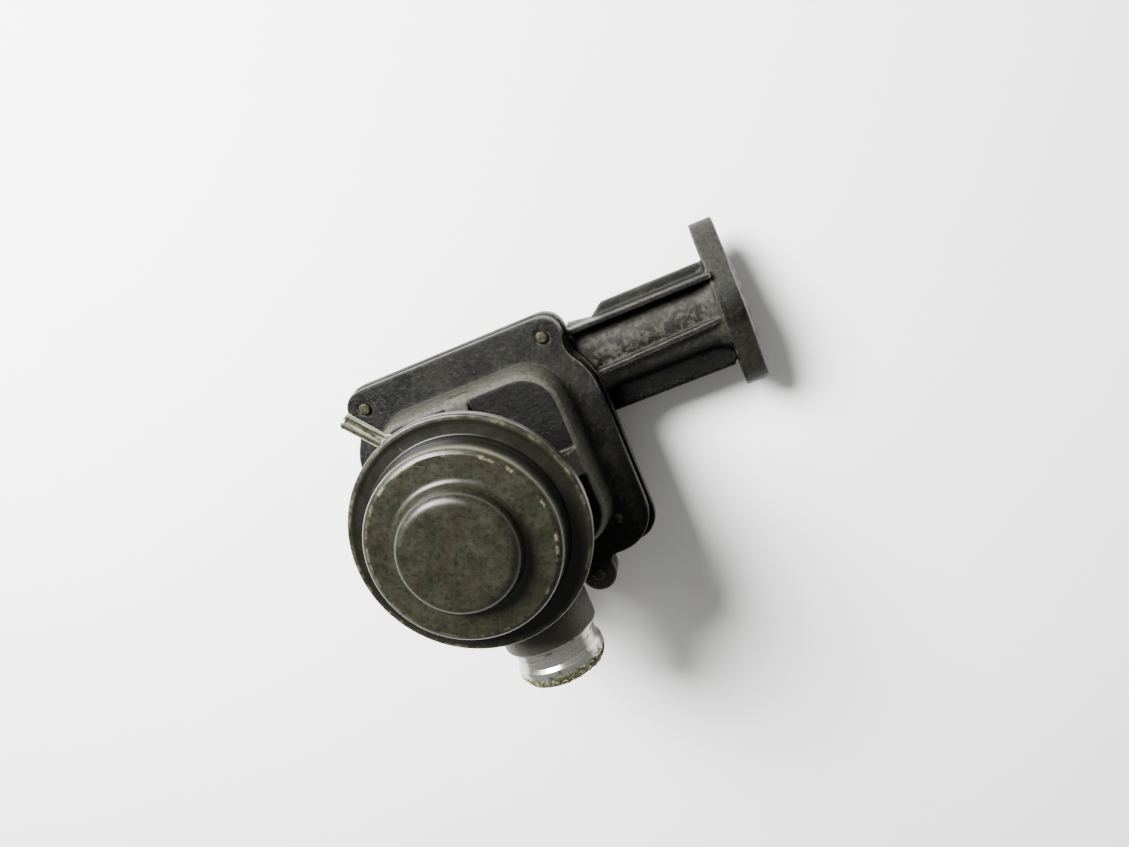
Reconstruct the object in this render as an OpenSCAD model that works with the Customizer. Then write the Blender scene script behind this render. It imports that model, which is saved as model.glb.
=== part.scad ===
// Vacuum-operated secondary air valve: a crimped diaphragm capsule on a die-cast
// inlet cover, a poppet and a reed non-return valve inside, and a lower casting
// whose arm carries the outlet to a two-bolt flange.
// Millimetres, +Z along the capsule axis, +X out of the outlet flange. The origin
// is the centre of the outlet port on the flange's raised face.

/* [Capsule] */
// Radius of the crimped rim
rim_r = 33; // [31:0.5:35]
// Height of the raised plateau over the rim
plateau_h = 8.4; // [7.5:0.1:9]
// Radius of the plateau where its wall meets the rim
plateau_r = 26.5; // [26:0.1:27.5]
// Height of the central boss over the rim
boss_h = 14.8; // [13:0.1:16]
// Radius of the central boss
boss_r = 16.4; // [16:0.1:17.5]
// Sheet thickness of both shells
sheet_t = 1; // [0.8:0.05:1]
// Depth of the lower shell under the rim
lower_shell_depth = 14; // [13.5:0.1:14.5]
// Outer radius of the vacuum nipple
nipple_r = 2.2; // [2:0.1:2.6]
// Direction in which the nipple points, seen from above
nipple_azimuth = 130; // [115:1:140]
// Distance by which the nipple misses the capsule axis
nipple_offset = 9.2; // [0:0.1:12]
// Distance of the nipple's tip from the foot of that offset
nipple_reach = 44; // [38:0.1:50]

/* [Inlet cover] */
// Half width of the cover over its swollen sides
cover_half_w = 40.5; // [39.5:0.1:41]
// Edge of the cover on the nipple side
cover_y_max = 43.4; // [42:0.1:45]
// Edge of the cover on the hose side
cover_y_min = -34.6; // [-36:0.1:-34]
// Thickness of the cover's flange
cover_flange_t = 4.5; // [4:0.1:5.5]
// Height of the dome over the flange
dome_h = 11; // [10:0.5:12]
// Radius of the cast hose stub
stub_r = 14.8; // [14.2:0.1:15.2]
// Radius of the stub's bore
stub_bore_r = 10.4; // [9:0.1:10.5]
// Distance from the valve axis to the mouth of the stub
stub_reach = 58; // [54:0.5:64]

/* [Outlet] */
// Radius of the outlet bore
outlet_bore_r = 8.5; // [8:0.1:8.6]
// Outer radius of the outlet duct
duct_r = 12; // [11.5:0.1:13]
// Thickness of the outlet flange
outlet_flange_t = 7.3; // [6:0.1:9]
// Spacing of the two flange bolts
bolt_spacing = 38; // [37:0.5:40]
// Radius of the flange bolt holes
bolt_hole_r = 4.2; // [3.6:0.1:4.5]
// Distance from the valve axis to the flange's raised port face
port_face_x = 90.2; // [86:0.5:96]

/* [Valve] */
// Travel of the valve rod
travel = 3.5; // [2.5:0.1:3.5]
// Radius of the valve stem
stem_r = 3; // [2.5:0.1:3]
// Radial running clearance of the stem in its bush
running_gap = 0.05; // [0.02:0.01:0.1]
// Largest opening angle of a reed
reed_angle = 16; // [8:1:16]

/* [Hidden] */
$fn = 64;
eps = 0.01;

// Heights along the valve axis, from the top face of the rim
rim_hem_h = 4.2;
cover_top_z = -45;
cover_bottom_z = cover_top_z - cover_flange_t;
gasket_t = 1;
housing_top_z = cover_bottom_z - gasket_t;
housing_flange_t = 4.6;
housing_flange_z = housing_top_z - housing_flange_t;
housing_bottom_z = -80;
dome_top_z = cover_top_z + dome_h;
neck_gasket_t = 0.6;
neck_top_z = -lower_shell_depth - neck_gasket_t;
neck_flange_t = 5.9;
chamber_top_z = neck_top_z - neck_flange_t;
stub_z = -31;
arm_y = 24;
arm_z = -65;

// Capsule: the boss and the plateau are pressed steps with round edges
boss_edge_r = 3;
boss_root_r = 1.8;
crease_r = 24.6;
plateau_edge_r = 2.4;
plateau_edge_drop = 0.2;
rim_foot_r = 0.8;
hem_r = 1.2;
hem_w = 3.6;
capsule_screw_pcr = 17.5;
capsule_screw_angles = [60, 180, 300];
capsule_screw_hole_r = 2.2;
capsule_screw_head_r = 3.4;
capsule_screw_head_h = 2;
nipple_z = -8;
nipple_root_r = nipple_r + 0.4;
nipple_root_start = 21.6;
nipple_hose_stop = 31.5;
nipple_wall = 0.8;
slot_w = 0.7;

// Inlet cover
neck_flange_r = 21.5;
lower_wall_r = 24.5;
neck_r = 18.5;
chamber_r = 14.5;
seat_tube_r = 17.2;
spigot_r = 8;
spigot_h = 4;
seal_pocket_r = 6;
seal_pocket_depth = 3.4;
bush_r = 5;
bush_h = 8.6;
dome_x = 31.4;
dome_y_max = 32.1;
dome_y_min = -27;
dome_corner_r = 13;
dome_wall = 3;
// Gussets: reach, height of the outer end over the flange, thickness and sideways offset
gusset_x = [29.5, 12.8, 8, 0.7];
gusset_y = [31.4, 11, 7, -1];
lug_a = [30.3, cover_y_max - 6.1];
lug_a_r = 6.1;
lug_d = [17.6, -39];
lug_d_r = 5.7;
lug_fillet_r = 2.5;
screw_r = 2.05;
screw_points = [lug_a, [-lug_a[0], lug_a[1]], lug_d, [-lug_d[0], lug_d[1]]];
screw_head_r = 4.1;
screw_head_h = 4;
screw_hex_r = 2;
washer_r = 4.6;
washer_t = 1.1;
screw_tip_z = cover_top_z + 0.9;
screw_head_z = housing_flange_z - washer_t;
cover_corner_r = 13;

// Waist between the screw lug and the cover's side, and the hose-side lug's fillets
s_waist_r = 8;
s_waist_a = 20;
s_exit_a = 215;
waist_c = lug_a + (lug_a_r + s_waist_r) * [cos(s_waist_a), -sin(s_waist_a)];
fillet_drop = cover_y_min - lug_fillet_r;
fillet_reach = sqrt(pow(lug_d_r + lug_fillet_r, 2) - pow(fillet_drop - lug_d[1], 2));
fillet_a = asin((fillet_drop - lug_d[1]) / (lug_d_r + lug_fillet_r));

// Stub: the machined neck, the bead and the tapered lip follow the cast sleeve
stub_neck_r = stub_r - 1.9;
stub_bead_r = stub_r - 1;
stub_lip_r = stub_r - 2.3;
stub_cast_end = stub_reach - 12;
stub_bead_start = stub_reach - 6.6;
stub_bead_end = stub_reach - 3;
stub_bead_ramp = 1.2;

// Valve group
plate_r = 14.5;
diaphragm_t = 1;
diaphragm_top_z = 2.6;
plate_t = 1;
seat_bottom_z = -43.5;
seat_h = 3.5;
seat_bore_r = 11.2;
seat_gap = 0.1;
seal_t = 1.8;
disc_t = 1.6;
disc_r = 13.4;
disc_seal_r = 13.2;
clip_t = 1.2;
stem_top_z = 7.4;
stem_bottom_z = seat_bottom_z - seat_gap - seal_t - disc_t - clip_t - 0.6;
stem_shoulder_r = stem_r + 2;
nut_r = 4.6;
nut_h = 3;
spring_r = 12.2;
spring_wire_r = 0.7;
spring_turns = 4.5;
spring_bottom_z = -lower_shell_depth + sheet_t + spring_wire_r;
spring_top_z = diaphragm_top_z - diaphragm_t - plate_t - spring_wire_r;
fold_r = 20;
fold_drop = 1.6;

// Reed valve
reed_plate_t = 2;
rod_clearance = 1.4;
reed_plate_z = stem_bottom_z - travel - rod_clearance - reed_plate_t;
reed_pocket_x = 32.5;
reed_pocket_y_max = 30;
reed_pocket_y_min = -26.5;
reed_pocket_r = 10;
ledge_w = 4;
reed_mid_y = 2;
reed_bar_half = 3;
reed_w = 15;
reed_l = 17;
reed_x = 9.5;
reed_t = 0.25;
reed_lift = 0.05;
reed_root_gap = 0.2;
window_margin = 1.8;
stop_t = 1.2;
stop_angle = reed_angle + 3;
rivet_x = [-13.5, -5.5, 5.5, 13.5];
rivet_r = 1.2;
rivet_head_r = 2;
rivet_head_h = 0.8;
reed_screw_points = [[20, 27.6], [-20, 27.6], [20, -24.1], [-20, -24.1]];
reed_screw_r = 1.5;
reed_screw_head_r = 2.2;
reed_screw_head_h = 1.6;
reed_screw_depth = 4;

// Outlet housing
housing_wall = 3;
housing_half_w = 41.3;
housing_corner_r = 9;
housing_grow = 0.8;
duct_start_x = 35.3;
bore_start_x = 38;
throat_y = 20.5;
throat_r = 7.4;
throat_wall_r = 10.4;
port_ring_t = 0.9;
port_ring_r = 13;
flange_body_r = 16;
flange_lug_r = 7.6;
flange_outer_x = port_face_x - port_ring_t;
flange_inner_x = flange_outer_x - outlet_flange_t;
web_t = 4;
web_y_min = 5.2;
web_y_max = 39.3;
web_taper_x = 48.6;
rib_t = 1.7;
rib_top_z = -51;
rib_outer_y = 35;
rib_inner_root_y = 19.6;
rib_inner_tip_y = 21.7;

// Points of an arc about c, from angle a0 to a1
function arc(c, r, a0, a1, n = 10) =
  [for (i = [0:n]) c + r * [cos(a0 + (a1 - a0) * i / n), sin(a0 + (a1 - a0) * i / n)]];

function mirrored_x(points) =
  [for (i = [len(points) - 1:-1:0]) [-points[i][0], points[i][1]]];

// Rectangle with four round corners
function rounded_rect(x0, x1, y0, y1, r) = concat(
  arc([x1 - r, y1 - r], r, 90, 0),
  arc([x1 - r, y0 + r], r, 0, -90),
  arc([x0 + r, y0 + r], r, -90, -180),
  arc([x0 + r, y1 - r], r, 180, 90)
);

module slab(points, z, h) {
  translate([0, 0, z]) linear_extrude(height = h) polygon(points);
}

module rounded_block(x0, x1, y0, y1, r, z, h) {
  slab(rounded_rect(x0, x1, y0, y1, r), z, h);
}

module ring(r_out, r_in, z, h) {
  translate([0, 0, z]) difference() {
    cylinder(r = r_out, h = h);
    translate([0, 0, -1]) cylinder(r = r_in, h = h + 2);
  }
}

module axial_bore(r, z, h) {
  translate([0, 0, z]) cylinder(r = r, h = h);
}

// Moves the valve-axis frame so that the outlet port is the origin
module part_frame() {
  translate([-port_face_x, -arm_y, -arm_z]) children();
}

// Half outline of the cover from its top edge to the middle of the hose side:
// screw lug, concave waist, swollen side, round corner and hose-side lug
function side_arc_r(half_w, waist_r) =
  (half_w - waist_c[0] - waist_r * cos(s_exit_a)) / (1 + cos(s_exit_a));

function side_arc_c(half_w, waist_r) =
  waist_c + (waist_r + side_arc_r(half_w, waist_r)) * [cos(s_exit_a), sin(s_exit_a)];

// grow widens the screw lug on the nipple side
function half_outline(half_w, corner_r, grow = 0) = concat(
  arc(lug_a, lug_a_r + grow, 90, -s_waist_a),
  arc(waist_c, s_waist_r - grow, 180 - s_waist_a, s_exit_a),
  arc(side_arc_c(half_w, s_waist_r - grow), side_arc_r(half_w, s_waist_r - grow), s_exit_a - 180, 0),
  arc([half_w - corner_r, cover_y_min + corner_r], corner_r, 0, -90),
  arc([lug_d[0] + fillet_reach, fillet_drop], lug_fillet_r, 90, 180 + fillet_a),
  arc(lug_d, lug_d_r, fillet_a, -180 - fillet_a, 16),
  arc([lug_d[0] - fillet_reach, fillet_drop], lug_fillet_r, -fillet_a, 90)
);

function full_outline(half_w, corner_r, grow = 0) =
  concat(half_outline(half_w, corner_r, grow), mirrored_x(half_outline(half_w, corner_r, grow)));

// ---- Capsule ----

// Outer profile of the upper shell from its axis to the rim
function upper_profile(inset) = concat(
  [[0, boss_h - inset]],
  arc([boss_r - boss_edge_r, boss_h - boss_edge_r], boss_edge_r - inset, 90, 8, 6),
  arc([boss_r + boss_root_r, plateau_h + boss_root_r], boss_root_r + inset, 188, 270, 5),
  [[crease_r, plateau_h - inset]],
  arc([plateau_r - plateau_edge_r, plateau_h - plateau_edge_drop - plateau_edge_r],
    plateau_edge_r - inset, 72, 10, 5),
  arc([plateau_r + 0.4 + rim_foot_r, rim_foot_r], rim_foot_r + inset, 188, 270, 4)
);

module capsule_upper_shell() {
  color("darkkhaki") part_frame() rotate_extrude() polygon(concat(
    upper_profile(0),
    arc([rim_r - hem_r, -hem_r], hem_r, 90, 0, 4),
    arc([rim_r - hem_r, -rim_hem_h + hem_r], hem_r, 0, -90, 4),
    [[rim_r - hem_w, -rim_hem_h], [rim_r - hem_w, -rim_hem_h + sheet_t]],
    [[rim_r - hem_r, -rim_hem_h + sheet_t], [rim_r - hem_r, -sheet_t]],
    [for (i = [len(upper_profile(sheet_t)) - 1:-1:0]) upper_profile(sheet_t)[i]]
  ));
}

module capsule_lower_shell() {
  wall_r = lower_wall_r;
  lip_r = rim_r - hem_r - 0.1;
  flange_z = -sheet_t - diaphragm_t;
  color("darkkhaki") part_frame() difference() {
    rotate_extrude() polygon([
      [spigot_r + 0.1, -lower_shell_depth],
      [wall_r - 2, -lower_shell_depth],
      [wall_r, -lower_shell_depth + 2],
      [wall_r, flange_z - sheet_t],
      [lip_r, flange_z - sheet_t],
      [lip_r, flange_z],
      [wall_r - sheet_t, flange_z],
      [wall_r - sheet_t, -lower_shell_depth + 2.4],
      [wall_r - 2.4, -lower_shell_depth + sheet_t],
      [spigot_r + 0.1, -lower_shell_depth + sheet_t]
    ]);
    nipple_line() cylinder(r = nipple_root_r, h = nipple_reach);
    for (a = capsule_screw_angles)
      rotate([0, 0, a]) translate([capsule_screw_pcr, 0, -lower_shell_depth - 1])
        cylinder(r = capsule_screw_hole_r, h = 3);
  }
}

// Places a cylinder along the nipple, starting abreast of the capsule axis
module nipple_line() {
  rotate([0, 0, nipple_azimuth]) translate([0, -nipple_offset, nipple_z])
    rotate([0, 90, 0]) children();
}

module vacuum_nipple() {
  start = nipple_root_start;
  color("darkkhaki") part_frame() nipple_line() translate([0, 0, start]) difference() {
    union() {
      cylinder(r = nipple_root_r, h = nipple_hose_stop - start);
      cylinder(r = nipple_r, h = nipple_reach - start);
    }
    translate([0, 0, -1]) cylinder(r = nipple_r - nipple_wall, h = nipple_reach);
  }
}

module capsule_gasket() {
  color("dimgray") part_frame() difference() {
    ring(neck_flange_r - 0.5, spigot_r + 0.1, neck_top_z, neck_gasket_t);
    for (a = capsule_screw_angles)
      rotate([0, 0, a]) translate([capsule_screw_pcr, 0, neck_top_z - 1])
        cylinder(r = capsule_screw_hole_r, h = 3);
  }
}

// Cross recess in the top of a screw head
module cross_slot(l, w, top_z) {
  translate([-l / 2, -w / 2, top_z - w]) cube([l, w, 1]);
  translate([-w / 2, -l / 2, top_z - w]) cube([w, l, 1]);
}

module capsule_screws() {
  head_z = -lower_shell_depth + sheet_t;
  tip_z = neck_top_z - 5;
  color("silver") part_frame()
    for (a = capsule_screw_angles)
      rotate([0, 0, a]) translate([capsule_screw_pcr, 0, 0]) difference() {
        union() {
          translate([0, 0, head_z]) cylinder(r = capsule_screw_head_r, h = capsule_screw_head_h);
          translate([0, 0, tip_z]) cylinder(r = screw_r - 0.05, h = head_z + eps - tip_z);
        }
        cross_slot(4.8, slot_w, head_z + capsule_screw_head_h);
      }
}

// ---- Diaphragm group ----

// The rolled diaphragm: bead clamped at the rim, one loose fold, flat centre
module diaphragm() {
  top_z = -sheet_t;
  bead_r = rim_r - hem_r - 0.1;
  fold_z = diaphragm_top_z - fold_drop;
  color("black") part_frame() rotate_extrude() polygon([
    [stem_r, diaphragm_top_z - diaphragm_t],
    [stem_r, diaphragm_top_z],
    [plate_r + 1, diaphragm_top_z],
    [fold_r, fold_z],
    [plateau_r - 1.8, top_z],
    [bead_r, top_z],
    [bead_r, top_z - diaphragm_t],
    [plateau_r - 2.2, top_z - diaphragm_t],
    [fold_r - 0.4, fold_z - diaphragm_t],
    [plate_r + 0.6, diaphragm_top_z - diaphragm_t]
  ]);
}

module diaphragm_upper_plate() {
  color("silver") part_frame() ring(plate_r, stem_r, diaphragm_top_z, plate_t);
}

// Lower plate with the turned-down lip that centres the spring
module diaphragm_lower_plate() {
  top_z = diaphragm_top_z - diaphragm_t;
  lip_r = spring_r - spring_wire_r - 0.2;
  color("silver") part_frame() union() {
    ring(plate_r, stem_r, top_z - plate_t, plate_t);
    ring(lip_r, lip_r - 1, top_z - plate_t - 1.6, 1.6 + eps);
  }
}

module stem_nut() {
  color("silver") part_frame() difference() {
    translate([0, 0, diaphragm_top_z + plate_t]) cylinder(r = nut_r, h = nut_h, $fn = 6);
    axial_bore(stem_r, 0, stem_top_z + 1);
  }
}

// The stem is one turned rod with a shoulder under the lower plate
module valve_stem() {
  shoulder_z = diaphragm_top_z - diaphragm_t - plate_t;
  color("gainsboro") part_frame() union() {
    axial_bore(stem_r, stem_bottom_z, stem_top_z - stem_bottom_z);
    axial_bore(stem_shoulder_r, shoulder_z - 1.5, 1.5);
    axial_bore(stem_shoulder_r, seat_bottom_z - seat_gap, 1.5);
  }
}

// A coil spring with one closed turn at each end, swept as a round wire
module return_spring() {
  steps = 22;
  sides = 8;
  rings = spring_turns * steps;
  rise = spring_top_z - spring_bottom_z;
  // Share of the rise reached after a share t of the turns; flat end turns
  function lift(t) = let (e = 0.75 / spring_turns) min(1, max(0, (t - e) / (1 - 2 * e)));
  points = [for (i = [0:rings]) for (k = [0:sides - 1])
    let (a = 360 * i / steps, b = 360 * k / sides, r = spring_r + spring_wire_r * cos(b))
    [r * cos(a), r * sin(a),
      spring_bottom_z + rise * lift(i / rings) + spring_wire_r * sin(b)]];
  side_faces = [for (i = [0:rings - 1]) for (k = [0:sides - 1])
    let (n = (k + 1) % sides)
    [i * sides + k, i * sides + n, (i + 1) * sides + n, (i + 1) * sides + k]];
  start_cap = [[for (k = [sides - 1:-1:0]) k]];
  end_cap = [[for (k = [0:sides - 1]) rings * sides + k]];
  color("gray") part_frame() polyhedron(points, concat(side_faces, start_cap, end_cap));
}

// ---- Stem guide ----

module stem_seal() {
  color("black") part_frame()
    ring(seal_pocket_r, stem_r + running_gap, neck_top_z + spigot_h - seal_pocket_depth, 2);
}

module seal_retainer() {
  color("silver") part_frame()
    ring(seal_pocket_r, stem_r + 0.5, neck_top_z + spigot_h - seal_pocket_depth + 2, 1);
}

module guide_bush() {
  color("goldenrod") part_frame()
    ring(bush_r, stem_r + running_gap, neck_top_z + spigot_h - seal_pocket_depth - bush_h, bush_h);
}

// ---- Poppet ----

module valve_seat_ring() {
  color("gold") part_frame() difference() {
    axial_bore(chamber_r, seat_bottom_z, seat_h);
    axial_bore(seat_bore_r, seat_bottom_z - 1, seat_h + 2);
  }
}

module disc_seal() {
  color("black") part_frame()
    ring(disc_seal_r, stem_r, seat_bottom_z - seat_gap - seal_t, seal_t);
}

module valve_disc() {
  top_z = seat_bottom_z - seat_gap - seal_t;
  color("silver") part_frame() ring(disc_r, stem_r, top_z - disc_t, disc_t);
}

module disc_clip() {
  top_z = seat_bottom_z - seat_gap - seal_t - disc_t;
  color("gray") part_frame() ring(stem_r + 2.4, stem_r, top_z - clip_t, clip_t);
}

// ---- Inlet cover ----

// Places a cylinder along the hose stub, out of the valve axis towards -Y
module stub_line() {
  translate([0, 0, stub_z]) rotate([90, 0, 0]) children();
}

module dome_layer(inset, z) {
  rounded_block(-dome_x + inset, dome_x - inset, dome_y_min + inset, dome_y_max - inset,
    dome_corner_r - inset, z, eps);
}

module dome_shell() {
  hull() {
    dome_layer(0, cover_top_z - eps);
    dome_layer(0.8, dome_top_z - 4);
    dome_layer(1.4, dome_top_z - 1.3);
    dome_layer(2.7, dome_top_z - eps);
  }
}

// Stiffening web from the neck down to the edge of the dome
module gusset(size) {
  reach = size[0];
  crest_z = cover_top_z + size[1];
  translate([0, size[3], 0]) rotate([90, 0, 0]) translate([0, 0, -size[2] / 2])
    linear_extrude(height = size[2]) polygon([
      [neck_r - 2, chamber_top_z],
      [neck_r + 0.5, chamber_top_z - 2],
      [reach - 1.4, crest_z],
      [reach, crest_z - 1.6],
      [reach, cover_top_z],
      [neck_r - 2, cover_top_z]
    ]);
}

module stub_outside() {
  stub_line() {
    cylinder(r = stub_r, h = stub_cast_end);
    cylinder(r = stub_neck_r, h = stub_bead_start);
    translate([0, 0, stub_bead_start])
      cylinder(r1 = stub_neck_r, r2 = stub_bead_r, h = stub_bead_ramp);
    translate([0, 0, stub_bead_start + stub_bead_ramp - eps])
      cylinder(r = stub_bead_r, h = stub_bead_end - stub_bead_start - stub_bead_ramp + 2 * eps);
    translate([0, 0, stub_bead_end])
      cylinder(r1 = stub_bead_r, r2 = stub_lip_r, h = stub_reach - stub_bead_end);
  }
}

// The dome's hollow, less the seat tube and the part of the stub that cross it
module dome_hollow() {
  difference() {
    rounded_block(-dome_x + dome_wall, dome_x - dome_wall, dome_y_min + dome_wall,
      dome_y_max - dome_wall, dome_corner_r - dome_wall, cover_bottom_z - 1,
      dome_top_z - dome_wall - cover_bottom_z + 1);
    axial_bore(seat_tube_r, seat_bottom_z, -seat_bottom_z);
    stub_line() cylinder(r = stub_r, h = stub_reach);
  }
}

module inlet_cover() {
  pocket_z = neck_top_z + spigot_h - seal_pocket_depth;
  color("dimgray") part_frame() difference() {
    union() {
      slab(full_outline(cover_half_w, cover_corner_r), cover_bottom_z, cover_flange_t);
      dome_shell();
      axial_bore(neck_r, dome_top_z - 1, neck_top_z - dome_top_z + 1);
      axial_bore(neck_flange_r, chamber_top_z, neck_flange_t);
      axial_bore(spigot_r, neck_top_z - 1, spigot_h + 1);
      stub_outside();
      gusset(gusset_x);
      rotate([0, 0, 90]) gusset(gusset_y);
      rotate([0, 0, 180]) gusset(gusset_x);
    }
    dome_hollow();
    axial_bore(chamber_r, cover_bottom_z - 1, chamber_top_z - cover_bottom_z + 1);
    axial_bore(bush_r, chamber_top_z - 1, pocket_z - chamber_top_z + 1);
    axial_bore(seal_pocket_r, pocket_z, seal_pocket_depth + 1);
    stub_line() cylinder(r = stub_bore_r, h = stub_reach + 1);
    for (p = screw_points)
      translate([p[0], p[1], cover_bottom_z - 1]) cylinder(r = screw_r, h = cover_flange_t + 2);
    for (a = capsule_screw_angles)
      rotate([0, 0, a]) translate([capsule_screw_pcr, 0, neck_top_z - 5])
        cylinder(r = screw_r - 0.05, h = 6);
  }
}

module cover_gasket() {
  color("black") part_frame() difference() {
    slab(full_outline(cover_half_w - 0.5, cover_corner_r - 0.5), housing_top_z, gasket_t);
    rounded_block(-reed_pocket_x + 1, reed_pocket_x - 1, reed_pocket_y_min + 1,
      reed_pocket_y_max - 1, reed_pocket_r - 1, housing_top_z - 1, gasket_t + 2);
    for (p = screw_points)
      translate([p[0], p[1], housing_top_z - 1]) cylinder(r = screw_r + 0.4, h = gasket_t + 2);
  }
}

// Screws enter from below, and their tips stand a little proud of the cover
module cover_screws() {
  color("khaki") part_frame()
    for (p = screw_points) translate([p[0], p[1], 0]) difference() {
      union() {
        translate([0, 0, screw_head_z]) cylinder(r = screw_r - 0.05, h = screw_tip_z - screw_head_z);
        translate([0, 0, screw_head_z - screw_head_h]) cylinder(r = screw_head_r, h = screw_head_h);
      }
      translate([0, 0, screw_head_z - screw_head_h - 1])
        cylinder(r = screw_hex_r, h = 3.2, $fn = 6);
    }
}

module cover_washers() {
  color("silver") part_frame()
    for (p = screw_points) translate([p[0], p[1], 0])
      ring(washer_r, screw_r + 0.1, screw_head_z, washer_t);
}

// ---- Reed valve ----

module reed_plate() {
  clearance = 0.2;
  color("lightgray") part_frame() difference() {
    rounded_block(-reed_pocket_x + clearance, reed_pocket_x - clearance,
      reed_pocket_y_min + clearance, reed_pocket_y_max - clearance,
      reed_pocket_r - clearance, reed_plate_z, reed_plate_t);
    for (sx = [-1, 1], sy = [-1, 1])
      translate([sx * reed_x, reed_mid_y + sy * (reed_bar_half + reed_root_gap + reed_l / 2), 0])
        rounded_block(-reed_w / 2 + window_margin, reed_w / 2 - window_margin,
          -reed_l / 2 + window_margin, reed_l / 2 - window_margin, 2,
          reed_plate_z - 1, reed_plate_t + 2);
    for (p = reed_screw_points)
      translate([p[0], p[1], reed_plate_z - 1]) cylinder(r = reed_screw_r + 0.1, h = reed_plate_t + 2);
    for (x = rivet_x)
      translate([x, reed_mid_y, reed_plate_z - 1]) cylinder(r = rivet_r, h = reed_plate_t + 2);
  }
}

module reed_plate_screws() {
  top_z = reed_plate_z + reed_plate_t;
  color("silver") part_frame()
    for (p = reed_screw_points) translate([p[0], p[1], 0]) difference() {
      union() {
        translate([0, 0, top_z]) cylinder(r = reed_screw_head_r, h = reed_screw_head_h);
        translate([0, 0, reed_plate_z - reed_screw_depth])
          cylinder(r = reed_screw_r, h = reed_plate_t + reed_screw_depth + eps);
      }
      cross_slot(3, slot_w, top_z + reed_screw_head_h);
    }
}

// One spring-steel flap; sx and sy choose its quarter of the plate
module reed_petal(sx, sy) {
  root_y = reed_mid_y + sy * (reed_bar_half + reed_root_gap);
  y0 = min(root_y, root_y + sy * reed_l);
  color("lightsteelblue") part_frame()
    rounded_block(sx * reed_x - reed_w / 2, sx * reed_x + reed_w / 2, y0, y0 + reed_l, 2.5,
      reed_plate_z - reed_lift - reed_t, reed_t);
}

module reed_petal_1() { reed_petal(1, 1); }
module reed_petal_2() { reed_petal(-1, 1); }
module reed_petal_3() { reed_petal(1, -1); }
module reed_petal_4() { reed_petal(-1, -1); }

// Bent plate that clamps the reeds' roots and limits how far they open
module reed_stop_plate() {
  half_x = reed_x + reed_w / 2 - 1;
  wing_l = reed_l - 1.5;
  color("silver") part_frame() difference() {
    union() {
      translate([-half_x, reed_mid_y - reed_bar_half, reed_plate_z - stop_t])
        cube([2 * half_x, 2 * reed_bar_half, stop_t]);
      for (side = [0, 1]) translate([0, reed_mid_y, 0]) mirror([0, side, 0])
        translate([0, reed_bar_half - 0.35, reed_plate_z - 0.75]) rotate([-stop_angle, 0, 0])
          for (sx = [-1, 1]) translate([sx * reed_x - reed_w / 2 + 1, 0, -stop_t])
            cube([reed_w - 2, wing_l, stop_t]);
    }
    for (x = rivet_x)
      translate([x, reed_mid_y, reed_plate_z - stop_t - 1]) cylinder(r = rivet_r, h = stop_t + 2);
  }
}

module reed_rivets() {
  color("silver") part_frame()
    for (x = rivet_x) translate([x, reed_mid_y, 0]) {
      translate([0, 0, reed_plate_z - stop_t - rivet_head_h])
        cylinder(r = rivet_head_r, h = rivet_head_h);
      translate([0, 0, reed_plate_z - stop_t]) cylinder(r = rivet_r, h = stop_t + reed_plate_t);
      translate([0, 0, reed_plate_z + reed_plate_t]) cylinder(r = rivet_head_r, h = rivet_head_h);
    }
}

// ---- Outlet housing ----

module duct_line(x0, x1, r, y = arm_y) {
  translate([x0, y, arm_z]) rotate([0, 90, 0]) cylinder(r = r, h = x1 - x0);
}

// Oval plate that carries the port and the two bolt lugs
module outlet_flange() {
  translate([flange_inner_x, arm_y, arm_z]) rotate([90, 0, 90])
    linear_extrude(height = outlet_flange_t) hull() {
      circle(r = flange_body_r - 1);
      for (s = [-1, 1]) translate([s * bolt_spacing / 2, 0]) circle(r = flange_lug_r);
    }
  duct_line(flange_inner_x, port_face_x, port_ring_r);
}

// Flat web on both sides of the duct, and the two ribs along its crown
module arm_web() {
  root_x = 33;
  slab([
    [root_x, web_y_min], [root_x, 28], [37.5, 33.6], [43.5, 35.6],
    [web_taper_x, web_y_max], [flange_inner_x + 1, web_y_max], [flange_inner_x + 1, web_y_min]
  ], arm_z, web_t);
  translate([37.2, rib_outer_y - rib_t / 2, arm_z + 1])
    cube([flange_inner_x - 36.2, rib_t, rib_top_z - arm_z - 1]);
  slab([
    [root_x, rib_inner_root_y - rib_t / 2], [root_x, rib_inner_root_y + rib_t / 2],
    [flange_inner_x + 1, rib_inner_tip_y + rib_t / 2], [flange_inner_x + 1, rib_inner_tip_y - rib_t / 2]
  ], arm_z + 1, rib_top_z - arm_z - 1);
}

module housing_outside() {
  wall = housing_wall;
  slab(full_outline(housing_half_w, housing_corner_r, housing_grow), housing_flange_z,
    housing_flange_t);
  rounded_block(-reed_pocket_x - wall, reed_pocket_x + wall, reed_pocket_y_min - wall,
    reed_pocket_y_max + wall, reed_pocket_r + wall, housing_bottom_z,
    housing_top_z - housing_bottom_z - 1);
  duct_line(reed_pocket_x - 10, duct_start_x + 1, throat_wall_r, throat_y);
  duct_line(duct_start_x, flange_inner_x + 1, duct_r);
  arm_web();
  outlet_flange();
}

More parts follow.
